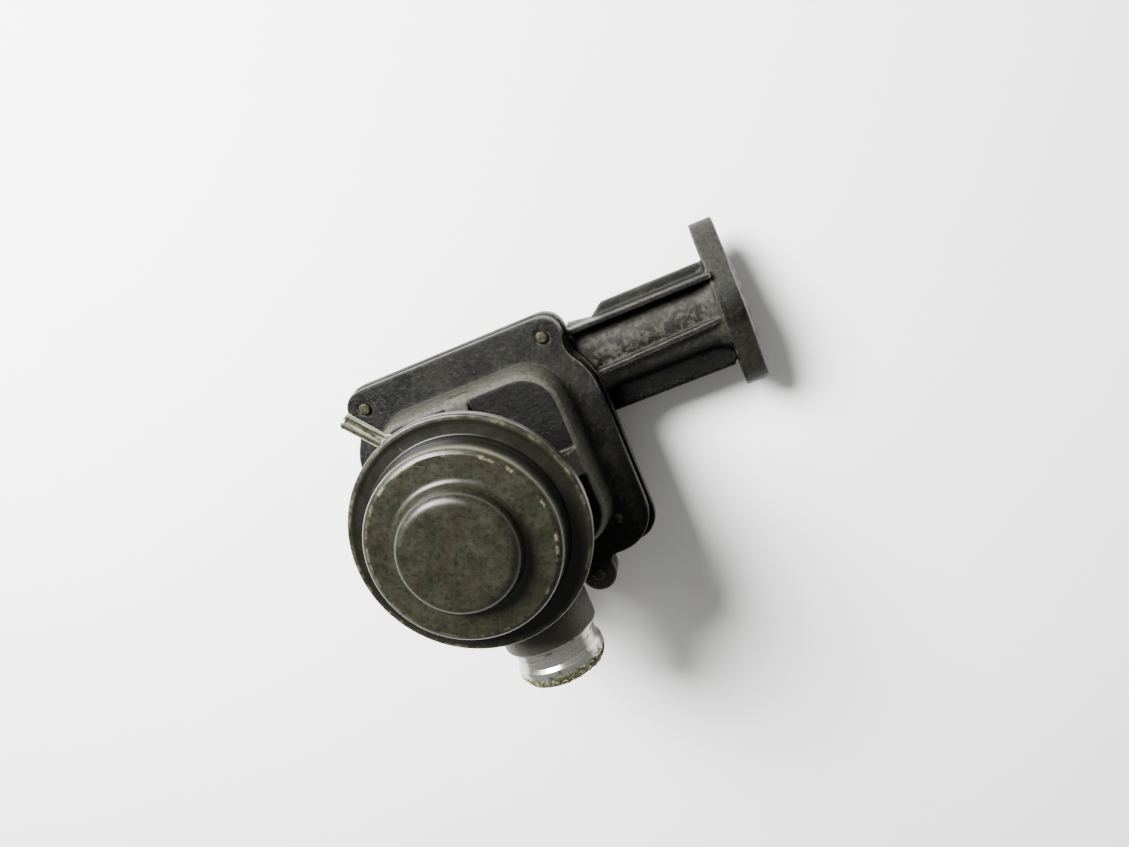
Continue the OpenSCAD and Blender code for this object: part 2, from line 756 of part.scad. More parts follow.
module outlet_housing() {
  color("dimgray") part_frame() difference() {
    housing_outside();
    rounded_block(-reed_pocket_x, reed_pocket_x, reed_pocket_y_min, reed_pocket_y_max,
      reed_pocket_r, reed_plate_z, housing_top_z - reed_plate_z + 1);
    rounded_block(-reed_pocket_x + ledge_w, reed_pocket_x - ledge_w, reed_pocket_y_min + ledge_w,
      reed_pocket_y_max - ledge_w, reed_pocket_r - ledge_w, housing_bottom_z + housing_wall,
      reed_plate_z - housing_bottom_z);
    duct_line(reed_pocket_x - ledge_w - 2, bore_start_x + eps, throat_r, throat_y);
    duct_line(bore_start_x, port_face_x + 1, outlet_bore_r);
    for (p = screw_points)
      translate([p[0], p[1], housing_flange_z - 1])
        cylinder(r = screw_r + 0.3, h = housing_flange_t + 2);
    for (p = reed_screw_points)
      translate([p[0], p[1], reed_plate_z - reed_screw_depth - 0.5])
        cylinder(r = reed_screw_r, h = reed_screw_depth + 1);
    for (s = [-1, 1])
      translate([flange_inner_x - 1, arm_y + s * bolt_spacing / 2, arm_z]) rotate([0, 90, 0])
        cylinder(r = bolt_hole_r, h = outlet_flange_t + port_ring_t + 2);
  }
}

capsule_upper_shell();
capsule_lower_shell();
capsule_gasket();
capsule_screws();
vacuum_nipple();
diaphragm();
diaphragm_upper_plate();
diaphragm_lower_plate();
return_spring();
stem_nut();
valve_stem();
stem_seal();
seal_retainer();
guide_bush();
valve_seat_ring();
disc_seal();
valve_disc();
disc_clip();
inlet_cover();
cover_gasket();
cover_screws();
cover_washers();
reed_plate();
reed_plate_screws();
reed_petal_1();
reed_petal_2();
reed_petal_3();
reed_petal_4();
reed_stop_plate();
reed_rivets();
outlet_housing();
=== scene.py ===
"""Vacuum-operated secondary air valve: pressed capsule, stained castings, hose stub and outlet arm."""
import math
import bmesh
import bpy
from bpy.props import FloatProperty, FloatVectorProperty, IntProperty, PointerProperty
from bpy.types import Operator, Panel, PropertyGroup
from mathutils import Matrix, Vector


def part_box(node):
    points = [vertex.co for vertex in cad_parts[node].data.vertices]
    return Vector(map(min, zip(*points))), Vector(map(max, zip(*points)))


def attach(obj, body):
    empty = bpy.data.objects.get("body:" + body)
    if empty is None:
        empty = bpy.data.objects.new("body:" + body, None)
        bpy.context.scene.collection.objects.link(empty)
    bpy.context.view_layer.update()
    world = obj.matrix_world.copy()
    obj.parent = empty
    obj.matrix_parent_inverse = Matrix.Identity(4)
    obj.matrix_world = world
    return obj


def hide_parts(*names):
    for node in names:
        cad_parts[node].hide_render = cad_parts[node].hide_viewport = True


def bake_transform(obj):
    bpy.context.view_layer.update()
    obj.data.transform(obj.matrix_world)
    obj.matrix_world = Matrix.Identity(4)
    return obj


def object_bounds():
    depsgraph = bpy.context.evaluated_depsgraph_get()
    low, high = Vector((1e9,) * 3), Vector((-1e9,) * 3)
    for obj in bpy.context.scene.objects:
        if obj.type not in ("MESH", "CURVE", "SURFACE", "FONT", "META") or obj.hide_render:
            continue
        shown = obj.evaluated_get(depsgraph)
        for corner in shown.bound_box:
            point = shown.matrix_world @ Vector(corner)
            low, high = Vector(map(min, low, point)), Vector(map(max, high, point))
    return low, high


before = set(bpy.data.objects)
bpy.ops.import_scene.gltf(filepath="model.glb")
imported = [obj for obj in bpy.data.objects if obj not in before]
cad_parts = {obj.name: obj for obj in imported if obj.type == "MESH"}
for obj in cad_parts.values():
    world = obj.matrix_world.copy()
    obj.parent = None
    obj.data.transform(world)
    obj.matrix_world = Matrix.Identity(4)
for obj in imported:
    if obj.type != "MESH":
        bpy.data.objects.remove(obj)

bl_info = {
    "name": "Secondary Air Valve",
    "version": (1, 0, 0),
    "blender": (4, 5, 0),
    "location": "3D View > Sidebar > Air Valve",
    "description": "Builds a vacuum-operated air valve: castings, capsule, stub, screws and reeds",
    "category": "Add Mesh",
}

CAD_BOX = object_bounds()
MM = 0.001
SHELL_LOW, SHELL_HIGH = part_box("capsule_upper_shell")
HEM_H = 4.2
# The valve axis at the top face of the rim: sizes below are in mm from here
AXIS = (SHELL_LOW + SHELL_HIGH) / 2
AXIS.z = SHELL_LOW.z + HEM_H * MM
STUB_Z = -31.0
STUB_CUT_Y = -45.6
ARM_Y = 24.0
ARM_Z = -65.0
PORT_X = 90.2
NIPPLE_TURN, NIPPLE_OFFSET, NIPPLE_Z = 130, 9.2, -8
SCREW_SPOTS = [(30.3, 37.3), (-30.3, 37.3), (17.6, -39.0), (-17.6, -39.0)]
SCREW_LOW, SCREW_SEAT, SCREW_TIP = -60.2, -56.2, -44.1
WASHER_TOP = -55.1
SPRING_LOW, SPRING_HIGH = -13.0, 0.6
REED_Z = (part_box("reed_plate")[0].z - AXIS.z) / MM
REED_MIDDLE, REED_SIDE = 2.0, 9.5
REED_WIDTH, REED_SHEET = 15, 0.25


def at(x, y, z):
    """Point in metres from its place in mm about the valve axis."""
    return AXIS + Vector((x, y, z)) * MM


def upright(z=0.0):
    """Place whose Z axis is the valve axis."""
    return Matrix.Translation(at(0, 0, z))


def stub_place():
    """Place whose Z axis runs out along the hose stub."""
    return Matrix.Translation(at(0, 0, STUB_Z)) @ Matrix.Rotation(math.radians(90), 4, "X")


def arm_place():
    """Place whose Z axis runs out along the outlet duct."""
    return Matrix.Translation(at(0, ARM_Y, ARM_Z)) @ Matrix.Rotation(math.radians(90), 4, "Y")


# ---- Shaping ----


def rounded(corners, steps=5):
    """Closed outline in mm from (x, y, radius) corners, each rounded by its radius."""
    outline = []
    count = len(corners)
    for i, (x, y, radius) in enumerate(corners):
        here = Vector((x, y))
        back = Vector(corners[i - 1][:2]) - here
        ahead = Vector(corners[(i + 1) % count][:2]) - here
        if radius <= 0 or back.length < 1e-6 or ahead.length < 1e-6:
            outline.append((x, y))
            continue
        half = back.angle(ahead) / 2
        if half > math.radians(89):
            outline.append((x, y))
            continue
        reach = min(radius / math.tan(half), back.length * 0.48, ahead.length * 0.48)
        radius = reach * math.tan(half)
        inward = (back.normalized() + ahead.normalized()).normalized()
        centre = here + inward * (radius / math.sin(half))
        start = here + back.normalized() * reach - centre
        turn = start.angle_signed(here + ahead.normalized() * reach - centre)
        for k in range(steps + 1):
            # angle_signed counts clockwise turns as positive
            a = -turn * k / steps
            c, s = math.cos(a), math.sin(a)
            point = centre + Vector((start.x * c - start.y * s, start.x * s + start.y * c))
            outline.append((max(point.x, 0.0), point.y))
    return outline


def turned(outline, place, steps=128):
    """Closed solid: a closed (radius, height) outline turned about the Z axis of place."""
    bm = bmesh.new()
    rings = []
    angles = [2 * math.pi * k / steps for k in range(steps)]
    for r, h in outline:
        if r < 1e-5:
            rings.append([bm.verts.new((0, 0, h))] * steps)
        else:
            rings.append([bm.verts.new((r * math.cos(a), r * math.sin(a), h)) for a in angles])
    for i, ring in enumerate(rings):
        following = rings[(i + 1) % len(rings)]
        for k in range(steps):
            n = (k + 1) % steps
            face = list(dict.fromkeys([ring[k], ring[n], following[n], following[k]]))
            if len(face) > 2:
                bm.faces.new(face)
    bmesh.ops.remove_doubles(bm, verts=bm.verts, dist=1e-5)
    bmesh.ops.recalc_face_normals(bm, faces=bm.faces)
    bm.transform(place @ Matrix.Scale(MM, 4))
    return bm


def placed_object(name, data):
    """New object in the scene."""
    item = bpy.data.objects.new(name, data)
    bpy.context.scene.collection.objects.link(item)
    return item


def discard(piece):
    """Removes an object with its mesh."""
    mesh = piece.data
    bpy.data.objects.remove(piece)
    bpy.data.meshes.remove(mesh)


def mesh_from(name, bm):
    """Mesh from a bmesh, which is freed."""
    mesh = bpy.data.meshes.new(name)
    bm.to_mesh(mesh)
    bm.free()
    return mesh


def make_piece(name, bm, sharp=38):
    """Object at the origin from a bmesh, shaded smooth between its sharp edges."""
    piece = placed_object(name, mesh_from(name, bm))
    soften(piece, sharp)
    return piece


def soften(piece, sharp=38):
    """Smooth shading, broken at edges sharper than an angle in degrees."""
    mesh = piece.data
    mesh.polygons.foreach_set("use_smooth", [True] * len(mesh.polygons))
    if sharp < 180:
        mesh.set_sharp_from_angle(angle=math.radians(sharp))
    mesh.update()


def merged(parts):
    """One bmesh from several."""
    whole = bmesh.new()
    for part in parts:
        mesh = mesh_from("solid", part)
        whole.from_mesh(mesh)
        bpy.data.meshes.remove(mesh)
    return whole


def baked(piece, name):
    """Plain-mesh copy of a piece with its modifiers worked in; the piece itself goes."""
    depsgraph = bpy.context.evaluated_depsgraph_get()
    mesh = bpy.data.meshes.new_from_object(piece.evaluated_get(depsgraph), depsgraph=depsgraph)
    mesh.name = name
    discard(piece)
    return placed_object(name, mesh)


def finish_piece(piece, finish, body, nodes=()):
    """Gives a piece its finish and its body, and hides the CAD nodes that it stands for."""
    piece.data.materials.clear()
    piece.data.materials.append(finish_of(finish))
    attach(piece, body)
    if nodes:
        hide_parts(*nodes)
    return piece


def finish_node(node, finish):
    """Gives a CAD node a finish and leaves its mesh alone."""
    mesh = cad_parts[node].data
    mesh.materials.clear()
    mesh.materials.append(finish_of(finish))


# ---- Geometry Nodes ----


class NodeTree:
    """A geometry tree with named inputs and their kinds, built a node at a time."""

    def __init__(self, name, inputs):
        self.tree = bpy.data.node_groups.new(name, "GeometryNodeTree")
        face = self.tree.interface
        face.new_socket("Geometry", in_out="INPUT", socket_type="NodeSocketGeometry")
        for label, kind in inputs.items():
            face.new_socket(label, in_out="INPUT", socket_type="NodeSocket" + kind)
        face.new_socket("Geometry", in_out="OUTPUT", socket_type="NodeSocketGeometry")
        self.start = self.tree.nodes.new("NodeGroupInput")
        self.end = self.tree.nodes.new("NodeGroupOutput")

    def add(self, kind, links=None, **settings):
        """New node. A node in the links stands for its first output."""
        node = self.tree.nodes.new(kind)
        for key, value in settings.items():
            setattr(node, key, value)
        for key, value in (links or {}).items():
            if isinstance(value, bpy.types.Node):
                value = value.outputs[0]
            if isinstance(value, bpy.types.NodeSocket):
                self.tree.links.new(value, node.inputs[key])
            else:
                node.inputs[key].default_value = value
        return node

    def entry(self, label):
        return self.start.outputs[label]

    def close(self, geometry, material):
        """Realises the instances, sets the finish and ends the tree."""
        real = self.add("GeometryNodeRealizeInstances", {"Geometry": geometry})
        coat = self.add("GeometryNodeSetMaterial", {"Geometry": real, "Material": material})
        self.tree.links.new(coat.outputs[0], self.end.inputs[0])


def grown(name, mesh, nodes, values):
    """Plain piece from a mesh and a geometry tree, with the tree's inputs set by name."""
    holder = placed_object(name + "_source", mesh)
    modifier = holder.modifiers.new("Build", "NODES")
    modifier.node_group = nodes.tree
    for item in nodes.tree.interface.items_tree:
        if item.item_type == "SOCKET" and item.in_out == "INPUT" and item.name in values:
            modifier[item.identifier] = values[item.name]
    return baked(holder, name)


def point_mesh(name, points):
    mesh = bpy.data.meshes.new(name)
    mesh.from_pydata([tuple(p) for p in points], [], [])
    return mesh


def repeated(name, pattern, points, material, sharp=38):
    """One piece: a pattern made at the origin and repeated on every point."""
    nodes = NodeTree(name + " pattern", {"Pattern": "Object"})
    info = nodes.add("GeometryNodeObjectInfo", {"Object": nodes.entry("Pattern")})
    spread = nodes.add(
        "GeometryNodeInstanceOnPoints",
        {"Points": nodes.entry("Geometry"), "Instance": info.outputs["Geometry"]},
    )
    nodes.close(spread, material)
    result = grown(name, point_mesh(name, points), nodes, {"Pattern": pattern})
    discard(pattern)
    soften(result, sharp)
    return result


# ---- Finishes ----


class Finish:
    """One procedural finish. Patterns read Object coordinates, in metres."""

    def __init__(self, name, metallic, specular=0.5):
        self.material = bpy.data.materials.new(name)
        self.material.use_nodes = True
        self.tree = self.material.node_tree
        self.shader = self.tree.nodes["Principled BSDF"]
        self.shader.inputs["Metallic"].default_value = metallic
        self.shader.inputs["Specular IOR Level"].default_value = specular
        self.place = self.node("TexCoord").outputs["Object"]

    def node(self, kind, **settings):
        """New shader node with its settings."""
        node = self.tree.nodes.new("ShaderNode" + kind)
        for key, value in settings.items():
            setattr(node, key, value)
        return node

    def put(self, socket, value):
        """Links an output to a socket, or sets the socket to a value."""
        if isinstance(value, bpy.types.NodeSocket):
            self.tree.links.new(value, socket)
        elif isinstance(value, (tuple, list)) and len(value) == 3 and socket.type == "RGBA":
            socket.default_value = (*value, 1.0)
        else:
            socket.default_value = value

    def centred(self, centre, turn=(0, 0, 0), stretch=(1, 1, 1)):
        """Coordinates moved to a centre, then turned and stretched."""
        move = self.node("VectorMath", operation="SUBTRACT")
        self.put(move.inputs[0], self.place)
        move.inputs[1].default_value = centre
        # The texture mode turns first and stretches afterwards
        node = self.node("Mapping", vector_type="TEXTURE")
        self.put(node.inputs["Vector"], move.outputs[0])
        node.inputs["Rotation"].default_value = [math.radians(-a) for a in turn]
        node.inputs["Scale"].default_value = [1 / a for a in stretch]
        return node.outputs[0]

    def axis(self, coords, letter):
        """One part of a vector."""
        node = self.node("SeparateXYZ")
        self.put(node.inputs[0], coords)
        return node.outputs[letter]

    def radius(self, coords):
        """Distance from the Z axis of the coordinates."""
        flat = self.node("VectorMath", operation="MULTIPLY")
        self.put(flat.inputs[0], coords)
        flat.inputs[1].default_value = (1, 1, 0)
        node = self.node("VectorMath", operation="LENGTH")
        self.put(node.inputs[0], flat.outputs[0])
        return node.outputs["Value"]

    def noise(self, size, detail=4.0, rough=0.55, coords=None, distortion=0.0):
        """Soft pattern with features about size millimetres across."""
        node = self.node("TexNoise")
        self.put(node.inputs["Vector"], coords or self.place)
        node.inputs["Scale"].default_value = 1.0 / (size * MM)
        node.inputs["Detail"].default_value = detail
        node.inputs["Roughness"].default_value = rough
        node.inputs["Distortion"].default_value = distortion
        return node.outputs["Fac"]

    def cells(self, size):
        """Distance to the nearest of scattered points about size millimetres apart."""
        node = self.node("TexVoronoi")
        self.put(node.inputs["Vector"], self.place)
        node.inputs["Scale"].default_value = 1.0 / (size * MM)
        return node.outputs["Distance"]

    def sums(self, operation, a, b=0.0):
        node = self.node("Math", operation=operation)
        self.put(node.inputs[0], a)
        self.put(node.inputs[1], b)
        return node.outputs[0]

    def times(self, a, b):
        return self.sums("MULTIPLY", a, b)

    def plus(self, a, b):
        return self.sums("ADD", a, b)

    def minus(self, a, b):
        return self.sums("SUBTRACT", a, b)

    def most(self, a, b):
        return self.sums("MAXIMUM", a, b)

    def step(self, value, low, high, out_low=0.0, out_high=1.0):
        """Smooth step of a value from low to high."""
        node = self.node("MapRange", interpolation_type="SMOOTHSTEP")
        ends = {"From Min": low, "From Max": high, "To Min": out_low, "To Max": out_high}
        for key, number in ends.items():
            node.inputs[key].default_value = number
        self.put(node.inputs["Value"], value)
        return node.outputs["Result"]

    def peak(self, value, centre, width):
        """One at the centre, falling to zero a width away."""
        away = self.sums("ABSOLUTE", self.minus(value, centre))
        return self.step(away, 0.0, width, 1.0, 0.0)

    def bend_mask(self, low, high):
        """Mask of bent places: edges with low below high, hollows with low above it."""
        return self.step(self.node("NewGeometry").outputs["Pointiness"], low, high)

    def normal(self, letter):
        """How far faces look along one axis."""
        return self.axis(self.node("NewGeometry").outputs["Normal"], letter)

    def blend(self, amount, a, b):
        """Colour a where the amount is 0 and colour b where it is 1."""
        node = self.node("Mix", data_type="RGBA")
        self.put(node.inputs[0], amount)
        self.put(node.inputs[6], a)
        self.put(node.inputs[7], b)
        return node.outputs[2]

    def scratches(self, size, turn, low, high):
        """Fine straight scratches that run one way."""
        drawn_out = self.centred((0, 0, 0), (0, 0, turn), (0.06, 1.6, 1.0))
        return self.step(self.noise(size, 2.0, 0.5, drawn_out, 0.3), low, high)

    def done(self, colour, roughness, relief, depth, strength):
        """Joins up the shader. Depth is the relief's height in millimetres."""
        self.put(self.shader.inputs["Base Color"], colour)
        self.put(self.shader.inputs["Roughness"], roughness)
        bump = self.node("Bump")
        bump.inputs["Strength"].default_value = strength
        bump.inputs["Distance"].default_value = depth * MM
        self.put(bump.inputs["Height"], relief)
        self.put(self.shader.inputs["Normal"], bump.outputs[0])
        return self.material


def tint(colour, factor):
    """Lighter or darker version of a colour."""
    return tuple(c * factor for c in colour)


FINISHES = {}


def finish_of(name):
    """The finish of that name, mixed when it is first asked for."""
    if name not in FINISHES:
        FINISHES[name] = MIXES[name](bpy.context.scene.valve_finishes)
    return FINISHES[name]


def passivated_sheet(colours):
    """Aged olive passivated steel: mottled film, brown bloom, scratches, bare steel at rubbed edges and
    painted shade round the plateau.
    """
    f = Finish("Passivated sheet", 0.0, 0.26)
    spot = f.centred(AXIS)
    reach = f.radius(spot)
    height = f.axis(spot, "Z")
    film = tuple(colours.film)
    bloom = f.times(f.step(f.noise(11, 5, 0.6), 0.44, 0.66), 0.75)
    cloud = f.noise(5, 6, 0.68)
    fine = f.noise(1.2, 7, 0.72)
    colour = f.blend(f.step(cloud, 0.32, 0.70), tint(film, 0.62), tint(film, 1.25))
    colour = f.blend(bloom, colour, tuple(colours.bloom))
    colour = f.blend(f.step(fine, 0.50, 0.62, 0.0, 0.75), colour, tint(film, 0.25))
    colour = f.blend(f.step(fine, 0.44, 0.32, 0.0, 0.4), colour, tint(film, 2.2))
    # The wall and the flat ring outside the plateau are painted darker: painted shade
    ring = f.times(f.step(reach, 0.0252, 0.0262), f.step(height, 0.0074, 0.0058, 0.0, 0.85))
    ring = f.times(ring, f.step(reach, 0.0325, 0.0310))
    colour = f.blend(ring, colour, tint(film, 0.22))
    marks = f.most(f.scratches(0.45, 68, 0.70, 0.76), f.scratches(0.5, 31, 0.71, 0.76))
    marks = f.times(marks, f.step(f.noise(8, 3), 0.50, 0.62, 0.0, 0.5))
    pits = f.times(f.step(f.cells(1.6), 0.24, 0.10), f.step(f.noise(6, 4), 0.46, 0.58))
    broken = f.noise(3.4, 7, 0.66)
    # The crease marks are strongest on one side and fade to a quarter on the other
    side = f.step(f.axis(f.centred(AXIS, (0, 0, -62)), "X"), -0.016, 0.016, 0.25, 1.0)
    crease = f.times(f.peak(reach, 0.0247, 0.0007), f.step(broken, 0.48, 0.60))
    crease = f.times(f.times(crease, side), f.step(height, 0.0070, 0.0078))
    shoulder = f.times(f.peak(reach, 0.0262, 0.0006), f.step(height, 0.0050, 0.0062, 0.0, 0.45))
    lip = f.times(f.peak(reach, 0.0323, 0.0009), f.step(broken, 0.46, 0.66, 0.0, 0.5))
    lip = f.times(lip, f.step(height, -0.0016, -0.0004))
    bare = f.most(f.most(crease, shoulder), lip)
    bare = f.most(bare, marks)
    colour = f.blend(bare, colour, tuple(colours.bare_steel))
    colour = f.blend(f.times(pits, 0.85), colour, (0.0030, 0.0026, 0.0018))
    rough = f.minus(f.step(cloud, 0.3, 0.7, 0.28, 0.38), f.times(bare, 0.10))
    relief = f.minus(f.times(fine, 0.8), f.times(marks, 0.6))
    relief = f.minus(relief, pits)
    return f.done(colour, rough, relief, 0.05, 0.45)


def stained_casting_painted_light(colours):
    """Die-cast aluminium darkened by heat and oil and lighter where edges rub, with painted light and
    shade: highlights on slopes, edges and the duct's crown, a lit sleeve, and shade in hollows, on the
    dome top and on the web by the duct.
    """
    f = Finish("Casting with painted light and stains", 0.0, 0.1)
    cloud = f.noise(10, 6, 0.62)
    grain = f.noise(0.55, 5, 0.75)
    spots = f.noise(1.4, 7, 0.74)
    casting = tuple(colours.casting)
    colour = f.blend(f.step(cloud, 0.36, 0.64), tuple(colours.stain), casting)
    colour = f.blend(f.step(spots, 0.52, 0.64, 0.0, 0.9), colour, tint(casting, 0.1))
    colour = f.blend(f.step(spots, 0.46, 0.34, 0.0, 0.7), colour, tint(casting, 3.4))
    # Slopes are painted lighter than the flats, in patches: a painted reflection of the bright
    # surroundings
    level = f.normal("Z")
    slope_sheen = f.times(f.step(level, 0.2, 0.55), f.step(level, 0.985, 0.86))
    slope_sheen = f.times(slope_sheen, f.step(f.noise(1.2, 6, 0.75), 0.34, 0.62, 0.25, 0.9))
    colour = f.blend(slope_sheen, colour, tint(casting, 3.4))
    spot = f.centred(AXIS)
    above = f.axis(spot, "Z")
    # The dome's sloped wall is painted lighter in patches: a painted highlight band
    dome_wall_highlight = f.times(f.step(above, -0.0448, -0.0435), f.step(above, -0.0325, -0.0335))
    dome_wall_highlight = f.times(dome_wall_highlight, f.times(f.step(level, 0.95, 0.85), f.step(level, 0.0, 0.1)))
    dome_wall_highlight = f.times(dome_wall_highlight, f.step(f.noise(1.0, 6, 0.75), 0.36, 0.58, 0.2, 0.95))
    colour = f.blend(dome_wall_highlight, colour, tint(casting, 7.0))
    # The dome's flat top is painted dark: painted shade under the raised capsule
    dome_top_shade = f.times(f.step(above, -0.0425, -0.0400), f.step(level, 0.93, 0.985, 0.0, 0.65))
    colour = f.blend(dome_top_shade, colour, tint(casting, 0.15))
    out = f.axis(spot, "X")
    along = f.axis(spot, "Y")
    near_arm = f.times(f.step(out, 0.036, 0.039), f.step(out, 0.0835, 0.0820))
    # The web beside the duct is painted near black: a painted shadow under the inner rib
    web_shadow_paint = f.times(near_arm, f.step(along, 0.0175, 0.0140, 0.0, 0.94))
    colour = f.blend(web_shadow_paint, colour, (0.0006, 0.0006, 0.0005))
    # The hose sleeve is painted lighter: painted light where the capsule's shadow falls
    sleeve_light_paint = f.step(along, -0.034, -0.042, 0.0, 0.75)
    colour = f.blend(sleeve_light_paint, colour, tint(casting, 9.0))
    # The duct's crown is lighter in patches: partly scuffs, partly a painted highlight of the lit
    # crown; its rubbed edges are the rib tops alone
    crown = f.times(near_arm, f.step(above, -0.0514, -0.0522))
    crown_scuffs_and_highlight = f.times(crown, f.step(f.noise(2.2, 7, 0.72), 0.46, 0.62, 0.0, 0.8))
    crown_scuffs_and_highlight = f.times(crown_scuffs_and_highlight, f.step(above, -0.0590, -0.0545))
    colour = f.blend(crown_scuffs_and_highlight, colour, tint(casting, 5.0))
    # Edges are lighter: partly wear, partly a painted highlight along the edges
    edges = f.times(f.bend_mask(0.517, 0.560), f.step(f.noise(1.5, 6, 0.72), 0.36, 0.60, 0.25, 1.0))
    edges = f.times(edges, f.minus(1.0, crown))
    colour = f.blend(f.times(edges, 0.85), colour, tuple(colours.rubbed))
    # Hollows are painted darker: painted shade in recesses
    hollows = f.bend_mask(0.490, 0.455)
    colour = f.blend(f.times(hollows, 0.6), colour, tint(casting, 0.2))
    # The outer face of the flange is milled
    milled = f.step(f.axis(f.centred(at(PORT_X - 1.4, 0, 0)), "X"), 0.0, 0.0004)
    lines = f.noise(0.55, 3, 0.6, f.centred((0, 0, 0), (35, 0, 0), (1, 0.05, 1)))
    milled_colour = f.blend(f.step(lines, 0.3, 0.7), (0.10, 0.10, 0.095), (0.20, 0.20, 0.185))
    colour = f.blend(f.times(milled, f.step(cloud, 0.62, 0.42, 0.4, 1.0)), colour, milled_colour)
    rough = f.step(f.noise(3, 5, 0.65), 0.3, 0.7, 0.26, 0.42)
    rough = f.minus(rough, f.times(edges, 0.08))
    relief = f.minus(f.times(grain, 0.8), f.times(spots, 1.6))
    return f.done(colour, rough, relief, 0.26, 0.8)


def turned_alloy(colours):
    """Bright turned aluminium with fine lathe lines and olive spotting near the mouth."""
    f = Finish("Turned alloy", 0.9)
    spot = f.centred(AXIS)
    along = f.axis(spot, "Y")
    lines = f.noise(0.16, 2, 0.5, f.centred(AXIS, (0, 0, 0), (0.02, 1, 0.02)))
    cloud = f.noise(3.2, 6, 0.66)
    colour = f.blend(f.step(lines, 0.3, 0.7), (0.30, 0.295, 0.27), (0.52, 0.51, 0.47))
    near = f.step(along, -0.0520, -0.0565)
    patches = f.step(f.plus(f.noise(1.5, 6, 0.7), f.times(near, 0.26)), 0.60, 0.72)
    colour = f.blend(f.times(patches, 0.85), colour, tint(colours.crust, 1.1))
    colour = f.blend(f.step(cloud, 0.53, 0.70, 0.0, 0.7), colour, (0.030, 0.028, 0.020))
    rough = f.plus(f.step(cloud, 0.35, 0.7, 0.17, 0.30), f.times(patches, 0.4))
    relief = f.plus(f.times(lines, 0.5), patches)
    return f.done(colour, rough, relief, 0.03, 0.5)


def mineral_crust(colours):
    f = Finish("Mineral crust", 0.0, 0.3)
    speck = f.noise(0.5, 6, 0.7)
    colour = f.blend(f.step(speck, 0.38, 0.58), (0.014, 0.015, 0.004), tuple(colours.crust))
    colour = f.blend(f.step(f.noise(1.1, 4), 0.50, 0.62, 0.0, 0.8), colour, (0.26, 0.25, 0.16))
    return f.done(colour, f.step(speck, 0.3, 0.7, 0.75, 0.95), speck, 0.15, 0.7)


def plated_tube(colours):
    """Olive passivated tube with bright streaks along its length: partly rub marks, partly a painted
    highlight.
    """
    f = Finish("Plated tube", 0.7)
    film = tuple(colours.film)
    streak = f.noise(1.1, 4, 0.6, f.centred(AXIS, (0, 0, -130), (0.08, 1, 1)))
    mottle = f.noise(1.6, 5, 0.65)
    colour = f.blend(f.step(mottle, 0.36, 0.66), tint(film, 3.0), tint(film, 6.0))
    # Bright lengthwise streaks: partly rub marks, partly a painted highlight along the tube
    colour = f.blend(f.step(streak, 0.48, 0.64, 0.0, 0.8), colour, (0.30, 0.29, 0.24))
    return f.done(colour, f.step(mottle, 0.3, 0.7, 0.20, 0.34), mottle, 0.02, 0.35)


def yellow_zinc(colours):
    f = Finish("Yellow zinc", 0.85)
    mottle = f.noise(0.9, 5, 0.65)
    colour = f.blend(f.step(mottle, 0.35, 0.65), (0.022, 0.021, 0.013), tuple(colours.screw))
    rust = f.step(f.noise(1.6, 4, 0.7), 0.58, 0.68, 0.0, 0.7)
    colour = f.blend(rust, colour, (0.016, 0.010, 0.006))
    rough = f.plus(f.step(mottle, 0.3, 0.7, 0.32, 0.48), f.times(rust, 0.3))
    return f.done(colour, rough, mottle, 0.03, 0.4)


def white_zinc(colours):
    f = Finish("White zinc", 0.95)
    cloud = f.noise(2.1, 5, 0.6)
    colour = f.blend(f.step(cloud, 0.35, 0.68), (0.36, 0.37, 0.38), (0.60, 0.61, 0.62))
    colour = f.blend(f.step(f.noise(0.8, 4, 0.7), 0.6, 0.7, 0.0, 0.5), colour, (0.75, 0.75, 0.73))
    return f.done(colour, f.step(cloud, 0.3, 0.7, 0.28, 0.42), cloud, 0.02, 0.3)


def ground_steel(colours):
    f = Finish("Ground steel", 1.0)
    lines = f.noise(0.12, 2, 0.5, f.centred(AXIS, (0, 0, 0), (0.03, 0.03, 1)))
    cloud = f.noise(4, 4)
    colour = f.blend(f.step(lines, 0.3, 0.7), (0.42, 0.42, 0.43), (0.60, 0.60, 0.61))
    colour = f.blend(f.step(cloud, 0.6, 0.75, 0.0, 0.5), colour, (0.22, 0.19, 0.15))
    return f.done(colour, f.step(cloud, 0.3, 0.7, 0.16, 0.30), lines, 0.01, 0.4)


def drawn_spring_steel(colours):
    f = Finish("Drawn spring steel", 1.0)
    cloud = f.noise(2.6, 4)
    lines = f.noise(0.25, 2, 0.5, f.centred((0, 0, 0), (0, 0, 20), (0.05, 1, 1)))
    colour = f.blend(f.step(cloud, 0.3, 0.7), (0.24, 0.25, 0.28), (0.40, 0.41, 0.44))
    colour = f.blend(f.step(lines, 0.6, 0.7, 0.0, 0.4), colour, (0.60, 0.61, 0.63))
    return f.done(colour, f.step(cloud, 0.3, 0.7, 0.20, 0.34), lines, 0.01, 0.4)


def sintered_bronze(colours):
    f = Finish("Sintered bronze", 1.0)
    pores = f.step(f.cells(0.35), 0.25, 0.10)
    cloud = f.noise(2.2, 4)
    colour = f.blend(f.step(cloud, 0.3, 0.7), (0.30, 0.17, 0.07), (0.52, 0.34, 0.15))
    colour = f.blend(f.times(pores, 0.7), colour, (0.06, 0.035, 0.015))
    return f.done(colour, f.step(cloud, 0.3, 0.7, 0.38, 0.52), f.minus(1.0, pores), 0.04, 0.5)


